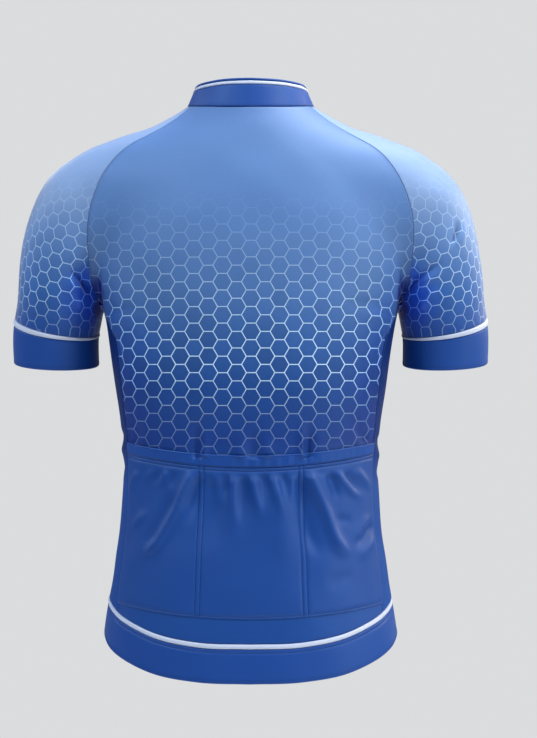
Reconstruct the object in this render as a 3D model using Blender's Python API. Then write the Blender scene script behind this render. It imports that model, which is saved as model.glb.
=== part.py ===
"""A short-sleeved raglan cycling jersey in its worn, hollow form.

The jersey stands upright along +Z, with its back towards -Y, its front towards +Y and its own left and
right mirrored across X = 0. The origin lies in the middle of the neck opening, at the height of the
side neck points, where a wearer's shoulders carry the jersey.

All sizes are in millimetres until a mesh is made, where MM turns them into metres.
The worn shape is one form: a torso of rounded sections joined smoothly to two bent arms. Every cloth
piece is a wall laid on that form between seams, and the seams are drawn in short tables.
"""
import math

import bmesh
import bpy
import numpy as np

MM = 0.001

# ---- Cloth -------------------------------------------------------------------------------------------
CLOTH = 1.2             # knitted panels
COLLAR_CLOTH = 1.8      # stand collar, cut double
TRIM_CLOTH = 1.6        # piping and bands, folded
ZIP_CLOTH = 2.0         # zip tape with its coil
SEAM_GAP = 0.4          # between two pieces at a seam
LAYER_GAP = 0.3         # between a piece and the one it lies on

# ---- The worn form -----------------------------------------------------------------------------------
# Torso sections: height, half width, depth behind the axis, depth before it, squareness.
TORSO = (
    (60, 62, 52, 58, 2.0),
    (25, 66, 57, 58, 2.0),
    (3, 74, 61, 58, 2.0),
    (-6, 85, 66, 58, 2.0),
    (-15, 98, 71, 60, 2.0),
    (-25, 113, 77, 62, 2.0),
    (-38, 136, 84, 66, 2.05),
    (-55, 162, 92, 72, 2.1),
    (-80, 180, 102, 84, 2.15),
    (-115, 187, 112, 98, 2.2),
    (-160, 187, 119, 110, 2.3),
    (-215, 181, 121, 117, 2.3),
    (-264, 172, 118, 116, 2.3),
    (-299, 166.5, 112, 109, 2.3),
    (-337, 161.5, 106, 103, 2.3),
    (-377, 155.7, 100, 98, 2.3),
    (-406, 152.8, 98, 96, 2.3),
    (-433, 152.3, 98, 96, 2.3),
    (-462, 153.8, 100, 98, 2.3),
    (-508, 157.2, 106, 101, 2.3),
    (-535, 161.5, 111, 103, 2.3),
    (-569, 166.0, 117, 104.5, 2.3),
    (-592, 170.0, 120, 105, 2.3),
    (-620, 174.5, 123, 105, 2.3),
    (-700, 179, 127, 104, 2.3),
)
# Arm sections along the arm's axis: axis point x, y, z, radius across, radius front to back.
ARM = (
    (20, -12, -52, 30, 32),
    (60, -10, -62, 32, 34),
    (105, -8, -76, 37, 42),
    (149, -7, -90, 47, 51),
    (181, -6, -107, 55.5, 58),
    (198, -5, -123, 58.5, 61),
    (208, -3, -141, 57.5, 61.5),
    (217, 0, -165, 55.5, 60.5),
    (223, 4, -190, 54, 59),
    (230, 13, -240, 52, 56),
    (234.5, 18, -265, 51.7, 54.5),
    (235, 26, -315, 51.2, 53),
    (235.5, 31, -345, 51, 52.5),
)
AXIS_SAMPLES = 97
STRIDES, STRIDE = 60, 0.8                   # steps of a walk to the form, and their share of the distance
INSIDE = 12.0                               # how far inside the torso a walk to its side starts
BLEND_HIGH, BLEND_LOW = 44.0, 12.0          # how softly arm and torso merge above and below
BLEND_TOP, BLEND_BOTTOM = -130.0, -225.0    # heights between which that changes

# ---- Seams -------------------------------------------------------------------------------------------
# The neck seam, in plan: half width, depth behind, depth before, squareness.
NECK = (76.0, 65.0, 70.0, 2.1)
# The collar's top edge, in plan, and its height by the angle round the neck from the centre back.
COLLAR_RIM = (66.0, 57.0, 61.0, 2.1)
COLLAR_RIM_HEIGHT = ((0, 31), (45, 29.5), (90, 23.5), (120, 13), (150, -3), (180, -12))
COLLAR_BINDING_TALL = 3.8
COLLAR_PIPING_TALL = 4.2
NECK_BACK_SEAM = 71.0       # angle of the back raglan seam at the neck
NECK_FRONT_SEAM = 138.0     # angle of the front raglan seam at the neck

# Raglan seams from the neck to the underarm: half width, height.
RAGLAN_BACK = ((89, -15.5), (104, -26), (119, -35), (145, -50), (169.5, -77.5), (183, -106),
               (190, -133), (191.5, -160.5), (190, -187.5), (186, -209), (181, -229))
RAGLAN_FRONT = ((66, -41), (86, -60), (108, -80), (131, -103), (150, -129), (163, -159),
                (171, -190), (175, -220))
# The underarm, where sleeve and side panel meet: half width, its ends behind and before, its height,
# and a height inside the form to look down from.
UNDERARM_X, UNDERARM_BACK, UNDERARM_FRONT = 176.5, -16.0, 28.0
UNDERARM_Z, UNDERARM_ABOVE = -243.0, -215.0
# Side seams below the underarm, the same behind and before: height, half width.
SIDE_SEAM = ((-243, 176), (-249, 173.5), (-256, 169.5), (-266, 164.5), (-284, 158.5), (-325, 153.5),
             (-372, 148), (-402, 145), (-440, 144), (-485, 144.5), (-520, 148), (-549, 151.8),
             (-584, 154.8), (-605, 156), (-640, 157))

# Hem, by the angle from the centre back: middle of the piping, bottom edge of the hem band.
HEM = ((0, -631, -674), (28, -629, -672), (46, -621.5, -665.5), (61, -608.5, -653), (82, -589, -632),
       (100, -577, -618), (130, -568, -608.5), (180, -564, -605))
HEM_PIPING_TALL = 5.8

# Heights of the pocket lines at the centre back and at the side seam.
POCKET_BAND_TOP = (-412, -398.5)
POCKET_BAND_BOTTOM = (-426.5, -412.5)
POCKET_BOTTOM = (-600, -588)

# Cuffs, as lengths along the arm's axis.
CUFF_TOP_Z = -261.0         # height of the axis where the piping starts
CUFF_PIPING_TALL = 5.9
CUFF_TALL = 40.0
CUFF_OUTER_RISE = 2.5       # the outer edge is this much nearer the shoulder than the middle

# Zip
ZIP_HALF = 4.0              # half the opening between the two front edges
ZIP_CENTRE_GAP = 0.3
ZIP_PROUD = 0.4             # the coil stands this far out of the cloth

# ---- How finely the cloth is faceted -----------------------------------------------------------------
BACK_COLUMNS = 18
FRONT_COLUMNS = 7
SIDE_COLUMNS = 2
NECK_EDGE_COLUMNS = 4
RAGLAN_ROWS = 8
WAIST_ROWS = 5
POCKET_ROWS = 5
SLEEVE_ROWS = 11
COLUMN_SWEEP = 72.0         # columns are spaced as the sine of an angle up to this, closer at the sides

# ---- Materials: colour, roughness, metallic ----------------------------------------------------------
FINISHES = {
    "light_knit": ((0.13, 0.26, 0.60), 0.6, 0.0),
    "deep_knit": ((0.02, 0.06, 0.28), 0.6, 0.0),
    "white_trim": ((0.62, 0.72, 0.86), 0.6, 0.0),
    "zip_tape": ((0.02, 0.05, 0.22), 0.5, 0.0),
    "zip_metal": ((0.55, 0.57, 0.60), 0.3, 1.0),
}


# ---- Curves through tables ---------------------------------------------------------------------------
def read_table(table, at):
    """Every column of a table at the given values of its first column, on a smooth curve."""
    rows = np.asarray(table, float)
    rows = rows[np.argsort(rows[:, 0])]
    key = rows[:, 0]
    width = np.diff(key)
    slope = np.diff(rows, axis=0) / width[:, None]
    inner = (slope[:-1] * width[1:, None] + slope[1:] * width[:-1, None]) / (width[1:] + width[:-1])[:, None]
    tangent = np.vstack([slope[:1], inner, slope[-1:]])
    at = np.clip(np.asarray(at, float), key[0], key[-1])
    i = np.clip(np.searchsorted(key, at, side="right") - 1, 0, len(width) - 1)
    span = width[i][..., None]
    t = (at[..., None] - key[i][..., None]) / span
    return ((2 * t**3 - 3 * t**2 + 1) * rows[i] + (t**3 - 2 * t**2 + t) * span * tangent[i]
            + (3 * t**2 - 2 * t**3) * rows[i + 1] + (t**3 - t**2) * span * tangent[i + 1])


def along(points, count):
    """Points at even steps along a smooth curve through the given ones, both ends included."""
    points = np.asarray(points, float)
    reach = np.concatenate([[0], np.cumsum(np.linalg.norm(np.diff(points, axis=0), axis=1))])
    table = np.column_stack([reach, points])
    return read_table(table, np.linspace(0, reach[-1], count))[:, 1:]


def unit(vectors):
    return vectors / np.linalg.norm(vectors, axis=-1, keepdims=True)


# ---- The form as a field: negative inside, about the distance in millimetres outside ----------------
def torso_radius(angle, height):
    """Distance from the torso's axis to its surface at an angle from the back and a height."""
    row = read_table(TORSO, height)
    side, back = np.abs(np.sin(angle)), np.cos(angle)
    deep = np.where(back > 0, row[..., 2], row[..., 3])
    square = row[..., 4]
    return ((side / row[..., 1])**square + (np.abs(back) / deep)**square) ** (-1 / square)


def torso_field(p):
    angle = np.arctan2(np.abs(p[..., 0]), -p[..., 1])
    height = p[..., 2]
    step = 2.0
    rise = (torso_radius(angle, height + step) - torso_radius(angle, height - step)) / (2 * step)
    return (np.hypot(p[..., 0], p[..., 1]) - torso_radius(angle, height)) / np.sqrt(1 + rise**2)


def arm_axis():
    """The arm's axis at even steps: lengths, table rows, and its along, outward and backward directions."""
    rows = np.array(ARM, float)
    reach = np.concatenate([[0], np.cumsum(np.linalg.norm(np.diff(rows[:, :3], axis=0), axis=1))])
    length = np.linspace(0, reach[-1], AXIS_SAMPLES)
    axis = read_table(np.column_stack([reach, rows]), length)[:, 1:]
    down = unit(np.gradient(axis[:, :3], length, axis=0))
    backward = np.array([0.0, -1.0, 0.0])
    back = unit(backward - (down @ backward)[:, None] * down)
    return length, axis, down, np.cross(back, down), back


AXIS_LENGTH, AXIS, AXIS_DOWN, AXIS_OUT, AXIS_BACK = arm_axis()


def axis_at(length):
    """The arm's axis rows and directions at any length along it."""
    place = np.clip(length / AXIS_LENGTH[-1], 0, 1) * (AXIS_SAMPLES - 1)
    i = np.clip(place.astype(int), 0, AXIS_SAMPLES - 2)
    part = (place - i)[..., None]
    return [table[i] * (1 - part) + table[i + 1] * part for table in (AXIS, AXIS_DOWN, AXIS_OUT, AXIS_BACK)]


def arm_place(p):
    """Where points lie about the arm's axis: length along it, offsets out, back and along, table rows."""
    flat = p.reshape(-1, 3)
    near = ((flat[:, None, :] - AXIS[None, :, :3])**2).sum(-1).argmin(1)
    length = AXIS_LENGTH[near] + ((flat - AXIS[near, :3]) * AXIS_DOWN[near]).sum(1)
    length = np.clip(length, 0, AXIS_LENGTH[-1])
    axis, down, out, back = axis_at(length)
    away = flat - axis[:, :3]
    return length, (away * out).sum(1), (away * back).sum(1), (away * down).sum(1), axis


def arm_field(p):
    _, out, back, beyond, axis = arm_place(p)
    scaled = np.sqrt((out / axis[:, 3])**2 + (back / axis[:, 4])**2 + (beyond / axis[:, 3])**2) + 1e-9
    size = np.sqrt(out**2 + back**2 + beyond**2)
    return (size * (1 - 1 / scaled)).reshape(p.shape[:-1])


def form(p):
    """The whole worn form, both sides."""
    p = np.array(p, float)
    p[..., 0] = np.abs(p[..., 0])
    torso, arm = torso_field(p), arm_field(p)
    high = np.clip((p[..., 2] - BLEND_BOTTOM) / (BLEND_TOP - BLEND_BOTTOM), 0, 1)
    soft = BLEND_LOW + (BLEND_HIGH - BLEND_LOW) * high * high * (3 - 2 * high)
    both = np.maximum(soft - np.abs(torso - arm), 0) / soft
    return np.minimum(torso, arm) - both * both * soft / 4


def leave(start, heading):
    """Where lines that start inside the form first leave it, found by walking nearly as far as is clear."""
    start = np.asarray(start, float)
    heading = np.broadcast_to(np.asarray(heading, float), start.shape)
    way = np.zeros(start.shape[:-1])
    for _ in range(STRIDES):
        way = way - STRIDE * form(start + heading * way[..., None])
    return start + heading * way[..., None]


def outward(p):
    """The form's outward direction at points on it."""
    step = 0.8
    return unit(np.stack([form(p + axis) - form(p - axis) for axis in np.eye(3) * step], -1))


# ---- Seam lines on the form --------------------------------------------------------------------------
def plan_point(plan, angle):
    """A point of a rounded plan outline at an angle from the centre back."""
    wide, behind, before, square = plan
    deep = np.where(np.cos(angle) > 0, behind, before)
    reach = ((np.abs(np.sin(angle)) / wide)**square + (np.abs(np.cos(angle)) / deep)**square) ** (-1 / square)
    return reach * np.sin(angle), -reach * np.cos(angle)


def on_back(x, z):
    return leave(np.stack([x, np.zeros_like(x), z], -1), (0, -1, 0))


def on_front(x, z):
    return leave(np.stack([x, np.zeros_like(x), z], -1), (0, 1, 0))


def on_torso(angle, z):
    """The torso's surface at an angle from the centre back and a height, clear of the arms."""
    angle = angle + np.zeros_like(z)
    heading = np.stack([np.sin(angle), -np.cos(angle), np.zeros_like(angle)], -1)
    axis = np.stack([np.zeros_like(z), np.zeros_like(z), z], -1)
    start = torso_radius(np.abs(angle), z) - INSIDE
    return leave(axis + heading * start[..., None], heading)


def neck_seam(angles):
    """The seam between the body and the collar."""
    x, y = plan_point(NECK, np.radians(angles))
    depth = np.full_like(x, -120.0)
    return leave(np.stack([x, y, depth], -1), (0, 0, 1))


def underarm_seam(y):
    """The seam between the sleeve and the side panel, under the arm."""
    y = np.asarray(y, float)
    return leave(np.stack([np.full_like(y, UNDERARM_X), y, np.full_like(y, UNDERARM_ABOVE)], -1), (0, 0, -1))


def raglan_seam(neck_angle, table, underarm_y, project):
    """A raglan seam from the neck to the underarm."""
    first = neck_seam(np.array([neck_angle]))
    last = underarm_seam([underarm_y])
    x, z = np.array(table, float).T
    line = np.vstack([first, project(x, z), last])
    even = along(line, RAGLAN_ROWS + 1)
    even[1:-1] = project(even[1:-1, 0], even[1:-1, 2])
    even[0], even[-1] = first[0], last[0]
    return even


def side_seam(heights, underarm_y, project):
    """A side seam at the given heights; the first is the underarm."""
    x = read_table(SIDE_SEAM, heights)[:, 1]
    line = project(x, np.asarray(heights, float))
    line[0] = underarm_seam([underarm_y])[0]
    return line


def neck_columns():
    """Angles round the right half of the neck at the back, over the shoulder and at the front."""
    back = np.linspace(0, NECK_BACK_SEAM, BACK_COLUMNS // 2 + 1)
    over = np.linspace(NECK_BACK_SEAM, NECK_FRONT_SEAM, NECK_EDGE_COLUMNS + 1)
    zip_angle = 180 - math.degrees(math.asin(ZIP_HALF / NECK[2]))
    front = np.linspace(NECK_FRONT_SEAM, zip_angle, FRONT_COLUMNS + 1)
    return back, over, front


def hem_heights(points):
    """Heights of the hem piping's middle and of the hem's bottom edge, below points of the body."""
    angle = np.degrees(np.arctan2(np.abs(points[..., 0]), -points[..., 1]))
    return read_table(HEM, angle)[..., 1:]


# ---- Walls -------------------------------------------------------------------------------------------
def pull_in(points, edges):
    """Draw chosen edges of a grid in by half a seam gap: its top or bottom row, first or last column."""
    moved = points.copy()
    half = SEAM_GAP / 2
    if "top" in edges:
        moved[0] += unit(points[1] - points[0]) * half
    if "bottom" in edges:
        moved[-1] += unit(points[-2] - points[-1]) * half
    if "first" in edges:
        moved[:, 0] += unit(points[:, 1] - points[:, 0]) * half
    if "last" in edges:
        moved[:, -1] += unit(points[:, -2] - points[:, -1]) * half
    return moved


def wall_solid(name, finish, points, normals, thickness, lift=0.0, closed=False):
    """A closed wall from a grid of outer points: rows down, columns across, lifted along the normals."""
    outer = points + normals * lift
    inner = points + normals * (lift - thickness)
    rows, columns = points.shape[:2]
    vertices = np.vstack([outer.reshape(-1, 3), inner.reshape(-1, 3)]) * MM
    shift = rows * columns

    def corner(r, c):
        return r * columns + c % columns

    faces = []
    spans = columns if closed else columns - 1
    for r in range(rows - 1):
        for c in range(spans):
            quad = (corner(r, c), corner(r, c + 1), corner(r + 1, c + 1), corner(r + 1, c))
            faces.append(quad)
            faces.append(tuple(shift + k for k in reversed(quad)))
    rim = [(corner(0, c + 1), corner(0, c)) for c in range(spans)]
    rim += [(corner(rows - 1, c), corner(rows - 1, c + 1)) for c in range(spans)]
    if not closed:
        rim += [(corner(r, 0), corner(r + 1, 0)) for r in range(rows - 1)]
        rim += [(corner(r + 1, columns - 1), corner(r, columns - 1)) for r in range(rows - 1)]
    faces += [(a, b, shift + b, shift + a) for a, b in rim]
    mesh = bpy.data.meshes.new(name)
    mesh.from_pydata(vertices.tolist(), [], faces)
    return place_mesh(name, finish, mesh)


def place_mesh(name, finish, mesh):
    """Turn a mesh's faces outwards, shade it smooth, and put it in the scene with its finish."""
    shape = bmesh.new()
    shape.from_mesh(mesh)
    bmesh.ops.triangulate(shape, faces=shape.faces)
    bmesh.ops.recalc_face_normals(shape, faces=shape.faces)
    if shape.calc_volume(signed=True) < 0:
        bmesh.ops.reverse_faces(shape, faces=shape.faces)
    shape.to_mesh(mesh)
    shape.free()
    mesh.shade_smooth()
    mesh.set_sharp_from_angle(angle=math.radians(50))
    mesh.materials.append(bpy.data.materials[finish])
    piece = bpy.data.objects.new(name, mesh)
    bpy.context.scene.collection.objects.link(piece)
    return piece


def both_sides(name, finish, points, normals, thickness, **more):
    """The same wall on the jersey's right side, at +X, and mirrored to its left side."""
    mirror = np.array([-1.0, 1.0, 1.0])
    wall_solid(name + "_right", finish, points, normals, thickness, **more)
    wall_solid(name + "_left", finish, points * mirror, normals * mirror, thickness, **more)


def make_finishes():
    for name, (colour, roughness, metallic) in FINISHES.items():
        material = bpy.data.materials.new(name)
        material.use_nodes = True
        shader = material.node_tree.nodes["Principled BSDF"]
        shader.inputs["Base Color"].default_value = (*colour, 1)
        shader.inputs["Roughness"].default_value = roughness
        shader.inputs["Metallic"].default_value = metallic
        material.diffuse_color = (*colour, 1)


# ---- The body's seams, shared by the pieces that meet there ------------------------------------------
def body_rows():
    """Side heights of the back's rows below the underarm, and the centre heights of all its rows."""
    side = [np.linspace(UNDERARM_Z, POCKET_BAND_TOP[1], WAIST_ROWS + 1),
            np.linspace(POCKET_BAND_BOTTOM[1], POCKET_BOTTOM[1], POCKET_ROWS + 1)]
    centre = [np.linspace(-238, POCKET_BAND_TOP[0], WAIST_ROWS + 1),
              np.linspace(POCKET_BAND_BOTTOM[0], POCKET_BOTTOM[0], POCKET_ROWS + 1)]
    return np.concatenate(side), np.concatenate(centre)


def hem_top_of_side(z, project):
    """Height at which a side seam meets the hem piping."""
    for _ in range(8):
        x = read_table(SIDE_SEAM, z)[1]
        point = project(np.array([x]), np.array([z]))[0]
        z = hem_heights(point)[0] + HEM_PIPING_TALL / 2
    return z


def seams():
    """Every shared seam line of the right half, as rows of points."""
    heights, _ = body_rows()
    back_heights = np.append(heights, hem_top_of_side(-598.0, on_back))
    front_end = hem_top_of_side(-575.0, on_front)
    shorter = (front_end - UNDERARM_Z) / (back_heights[-1] - UNDERARM_Z)
    front_heights = UNDERARM_Z + (back_heights - UNDERARM_Z) * shorter
    return {
        "raglan_back": raglan_seam(NECK_BACK_SEAM, RAGLAN_BACK, UNDERARM_BACK, on_back),
        "raglan_front": raglan_seam(NECK_FRONT_SEAM, RAGLAN_FRONT, UNDERARM_FRONT, on_front),
        "underarm": underarm_seam(np.linspace(UNDERARM_BACK, UNDERARM_FRONT, SIDE_COLUMNS + 1)),
        "side_back": side_seam(back_heights, UNDERARM_BACK, on_back),
        "side_front": side_seam(front_heights, UNDERARM_FRONT, on_front),
    }


def back_grid(lines):
    """The back from the neck to the hem piping, its columns from the left side to the right."""
    edge = np.vstack([lines["raglan_back"], lines["side_back"][1:]])
    _, low_centres = body_rows()
    neck_angles, _, _ = neck_columns()
    neck = neck_seam(np.concatenate([-neck_angles[:0:-1], neck_angles]))
    centre_neck = neck[BACK_COLUMNS // 2, 2]
    centre_hem = HEM[0][1] + HEM_PIPING_TALL / 2
    raglan = np.linspace(0, 1, RAGLAN_ROWS + 1)[1:-1]
    centres = np.concatenate([[centre_neck], centre_neck + (low_centres[0] - centre_neck) * raglan**1.15,
                              low_centres, [centre_hem]])
    sweep = np.radians(COLUMN_SWEEP)
    share = np.sin(np.linspace(-1, 1, BACK_COLUMNS + 1) * sweep) / np.sin(sweep)
    x = edge[:, :1] * share
    z = centres[:, None] + (edge[:, 2:] - centres[:, None]) * share**2
    grid = on_back(x, z)
    hem_row = grid[-1]
    for _ in range(3):
        height = hem_heights(hem_row)[:, 0] + HEM_PIPING_TALL / 2
        hem_row = on_back(x[-1], height)
    grid[-1] = hem_row
    grid[0] = neck
    grid[:, -1] = edge
    grid[:, 0] = edge * (-1, 1, 1)
    return grid


def front_grid(lines):
    """The right front from the neck to the hem piping, its columns from the zip to the side."""
    edge = np.vstack([lines["raglan_front"], lines["side_front"][1:]])
    _, _, neck_angles = neck_columns()
    neck = neck_seam(neck_angles[::-1])
    last_centre = HEM[-1][1] + HEM_PIPING_TALL / 2
    drop = (edge[:, 2] - edge[0, 2]) / (edge[-1, 2] - edge[0, 2])
    centres = neck[0, 2] + (last_centre - neck[0, 2]) * drop
    sweep = np.radians(COLUMN_SWEEP)
    share = np.sin(np.linspace(0, 1, FRONT_COLUMNS + 1) * sweep) / np.sin(sweep)
    x = ZIP_HALF + (edge[:, :1] - ZIP_HALF) * share
    z = centres[:, None] + (edge[:, 2:] - centres[:, None]) * share**2
    grid = on_front(x, z)
    hem_row = grid[-1]
    for _ in range(3):
        height = hem_heights(hem_row)[:, 0] + HEM_PIPING_TALL / 2
        hem_row = on_front(x[-1], height)
    grid[-1] = hem_row
    grid[0] = neck
    grid[:, -1] = edge
    return grid


def side_grid(lines):
    """The right side panel from the underarm to the hem piping, its columns from back to front."""
    behind, before = lines["side_back"], lines["side_front"]
    share = np.linspace(0, 1, SIDE_COLUMNS + 1)[None, :]
    angle_behind = np.arctan2(behind[:, 0], -behind[:, 1])[:, None]
    angle_before = np.arctan2(before[:, 0], -before[:, 1])[:, None]
    angle = angle_behind + (angle_before - angle_behind) * share
    z = behind[:, 2:] + (before[:, 2:] - behind[:, 2:]) * share
    grid = on_torso(angle, z)
    for _ in range(3):
        height = hem_heights(grid[-1])[:, 0] + HEM_PIPING_TALL / 2
        grid[-1] = on_torso(angle[-1], height)
    grid[0] = lines["underarm"]
    grid[:, 0], grid[:, -1] = behind, before
    return grid


# ---- Sleeves and cuffs -------------------------------------------------------------------------------
def arm_point(length, turn):
    """Where a line from the arm's axis, turned about it from outward to backward, leaves the form."""
    axis, _, out, back = axis_at(length)
    heading = out * np.cos(turn)[..., None] + back * np.sin(turn)[..., None]
    return leave(axis[..., :3], heading)


def armhole(lines):
    """The sleeve's upper edge, once round: back raglan up, neck, front raglan down, underarm back."""
    _, over, _ = neck_columns()
    return np.vstack([lines["raglan_back"][:0:-1], neck_seam(over), lines["raglan_front"][1:],
                      lines["underarm"][-2:0:-1]])


def cuff_length(turn):
    """Length along the arm's axis at which the cuff piping starts."""
    base = np.interp(-CUFF_TOP_Z, -AXIS[:, 2], AXIS_LENGTH)
    return base - CUFF_OUTER_RISE * np.cos(turn)


def sleeve_turns(edge):
    """Each sleeve column's turn about the arm at the armhole and, evenly spaced, at the cuff."""
    length, out, back, _, _ = arm_place(edge)
    turn = np.arctan2(back, out)
    turn = turn[0] + np.concatenate([[0], np.cumsum((np.diff(turn) + np.pi) % (2 * np.pi) - np.pi)])
    even = turn[0] - np.arange(len(edge)) * 2 * np.pi / len(edge)
    even += (turn - even).mean()
    return length, turn, even


def sleeve_grid(edge):
    """A sleeve from the armhole to the cuff piping, its columns once round the arm."""
    length, turn, even = sleeve_turns(edge)
    share = np.linspace(0, 1, SLEEVE_ROWS + 1)[:, None]
    ease = share * share * (3 - 2 * share)
    turns = turn + (even - turn) * ease
    lengths = length + (cuff_length(even) - length) * share
    grid = arm_point(lengths, turns)
    grid[0] = edge
    return grid


def cuff_ring(even, start, end, rows):
    """A ring round the sleeve's end between two lengths below the sleeve's edge."""
    offsets = np.linspace(start, end, rows + 1)[:, None]
    return arm_point(cuff_length(even) + offsets, even + np.zeros_like(offsets))


# ---- Collar ------------------------------------------------------------------------------------------
def collar_grids():
    """The collar's band, piping and binding, from the zip round the back to the zip again."""
    back, over, front = neck_columns()
    half = np.concatenate([back, over[1:], front[1:]])
    angles = np.concatenate([-half[:0:-1], half])
    base = neck_seam(angles)
    x, y = plan_point(COLLAR_RIM, np.radians(angles))
    rim = np.stack([x, y, read_table(COLLAR_RIM_HEIGHT, np.abs(angles))[:, 1]], -1)
    for end in (0, -1):
        rim[end, 0] = math.copysign(ZIP_HALF, rim[end, 0])
        base[end, 0] = math.copysign(ZIP_HALF, base[end, 0])
    rise = rim - base
    tall = np.linalg.norm(rise, axis=1)[:, None]
    up = rise / tall
    round_neck = unit(np.gradient(base, axis=0))
    normal = unit(np.cross(round_neck, up))[None]

    def ring(low, high, rows):
        share = np.linspace(0, 1, rows + 1)[:, None, None]
        return base + up * (high + (low - high) * share), np.repeat(normal, rows + 1, axis=0)

    gap = SEAM_GAP
    piping_base = tall - COLLAR_BINDING_TALL - COLLAR_PIPING_TALL
    binding_base = tall - COLLAR_BINDING_TALL
    return {
        "collar": ring(gap / 2, piping_base, 2),
        "collar_piping": ring(piping_base + gap, binding_base, 1),
        "collar_binding": ring(binding_base + gap, tall, 1),
    }


# ---- Hem ---------------------------------------------------------------------------------------------
def hem_grids(back, side, front):
    """The hem's piping and band, below the body's bottom edge from the zip round the back."""
    right = np.vstack([back[-1, BACK_COLUMNS // 2:], side[-1, 1:], front[-1, -2::-1]])
    edge = np.vstack([right[:0:-1] * (-1, 1, 1), right])
    heights = hem_heights(edge)
    angle = np.arctan2(edge[:, 0], -edge[:, 1])

    def ring(tops, bottoms, rows):
        share = np.linspace(0, 1, rows + 1)[:, None]
        grid = on_torso(angle, tops + (bottoms - tops) * share)
        for end in (0, -1):
            grid[:, end, 0] = math.copysign(ZIP_HALF, edge[end, 0])
        return grid, outward(grid)

    top = heights[:, 0] + HEM_PIPING_TALL / 2 - SEAM_GAP / 2
    middle = top - HEM_PIPING_TALL + SEAM_GAP
    return ring(top, middle, 1), ring(middle - SEAM_GAP, heights[:, 1], 2)


# ---- Zip ---------------------------------------------------------------------------------------------
def zip_grid(front, collar, piping, band):
    """The right half of the zip, from the collar's top edge to the hem's bottom edge."""
    binding, low_collar = collar["collar_binding"], collar["collar"]
    edge = [binding[0][0, -1], low_collar[0][0, -1], *front[:, 0], piping[0][-1, -1], *band[0][1:, -1]]
    edge = np.array(edge)
    slope = unit(np.gradient(edge, axis=0))
    normals = np.stack([np.zeros(len(edge)), -slope[:, 2], slope[:, 1]], -1)
    normals = unit(normals * np.sign(normals[:, 1:2]))
    outer_x, inner_x = ZIP_HALF - SEAM_GAP, ZIP_CENTRE_GAP / 2
    columns = [np.column_stack([np.full(len(edge), x), edge[:, 1:]]) for x in (inner_x, outer_x)]
    return np.stack(columns, 1), np.repeat(normals[:, None], 2, axis=1)


def slab(name, size, centre, bevel):
    """A block with rounded edges, kept as a mesh for joining. Sizes along x, down the zip, and out."""
    mesh = bpy.data.meshes.new(name)
    shape = bmesh.new()
    bmesh.ops.create_cube(shape, size=1.0)
    for vertex in shape.verts:
        vertex.co = [(vertex.co[k] * size[k] + centre[k]) * MM for k in range(3)]
    if bevel:
        upright = [e for e in shape.edges if abs(e.verts[0].co.z - e.verts[1].co.z) > 1e-6]
        bmesh.ops.bevel(shape, geom=upright, offset=bevel * MM, segments=3, affect="EDGES", profile=0.5)
    bmesh.ops.recalc_face_normals(shape, faces=shape.faces)
    shape.to_mesh(mesh)
    shape.free()
    piece = bpy.data.objects.new(name, mesh)
    bpy.context.scene.collection.objects.link(piece)
    return piece


def combine(piece, other, how):
    """Join or cut one block with another, which is then removed."""
    change = piece.modifiers.new(other.name, "BOOLEAN")
    change.operation = how
    change.solver = "EXACT"
    change.object = other
    graph = bpy.context.evaluated_depsgraph_get()
    mesh = bpy.data.meshes.new_from_object(piece.evaluated_get(graph))
    piece.modifiers.clear()
    piece.data = mesh
    bpy.data.objects.remove(other)


# The slider and its pull tab, in the zip's own directions: across, down and out of the cloth.
SLIDER_DROP = 9.0                   # centre of the slider below the collar's top edge
SLIDER_SIZE = (7.6, 10.0, 2.2)
ARCH_SIZE = (2.0, 8.0, 3.0)
ARCH_WINDOW = (5.6, 2.0)            # length and height of the opening under the arch
HINGE_OUT = 1.0                     # the pull tab's axis above the slider's face
PULL_SIZE = (6.0, 24.0, 1.0)
PULL_WINDOW = (3.2, 4.8)            # width and length of the opening that straddles the arch
PULL_BAR = 1.2                      # the bar that runs under the arch


def zip_frame(points, normals):
    """Slider centre on the zip's face, and the tilt of the zip there."""
    top = points[0, 0]
    down = unit(points[1, 0] - points[0, 0])
    centre = top + down * SLIDER_DROP
    centre[0] = 0.0
    return centre, down, normals[0, 0]


def make_slider(points, normals):
    centre, down, out = zip_frame(points, normals)
    tilt = math.atan2(-down[1], -down[2])
    base = ZIP_PROUD + LAYER_GAP
    face = base + SLIDER_SIZE[2]
    body = slab("zip_slider", SLIDER_SIZE, (0, 0, base + SLIDER_SIZE[2] / 2), 1.6)
    arch = slab("arch", ARCH_SIZE, (0, 0, face + ARCH_SIZE[2] / 2 - 0.2), 0)
    window = slab("window", (4.0, ARCH_WINDOW[0], ARCH_WINDOW[1]), (0, 0, face + ARCH_WINDOW[1] / 2), 0)
    combine(arch, window, "DIFFERENCE")
    combine(body, arch, "UNION")
    pull = slab("zip_pull", PULL_SIZE, (0, PULL_SIZE[1] / 2 - PULL_BAR / 2, 0), 1.4)
    hole_centre = PULL_BAR / 2 + PULL_WINDOW[1] / 2
    hole = slab("hole", (PULL_WINDOW[0], PULL_WINDOW[1], 4.0), (0, hole_centre, 0), 0)
    combine(pull, hole, "DIFFERENCE")
    for piece, lift in ((body, 0.0), (pull, face + HINGE_OUT)):
        finish_slider_piece(piece, centre + out * lift, tilt)


def finish_slider_piece(piece, place, tilt):
    """Stand a slider piece on the zip: its own y runs down the zip and its z out of the cloth."""
    shape = bmesh.new()
    shape.from_mesh(piece.data)
    bmesh.ops.remove_doubles(shape, verts=shape.verts, dist=0.01 * MM)
    bmesh.ops.triangulate(shape, faces=shape.faces)
    bmesh.ops.recalc_face_normals(shape, faces=shape.faces)
    shape.to_mesh(piece.data)
    shape.free()
    piece.data.materials.clear()
    piece.data.materials.append(bpy.data.materials["zip_metal"])
    piece.rotation_euler = (math.radians(-90) - tilt, 0, 0)
    piece.location = [value * MM for value in place]


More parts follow.
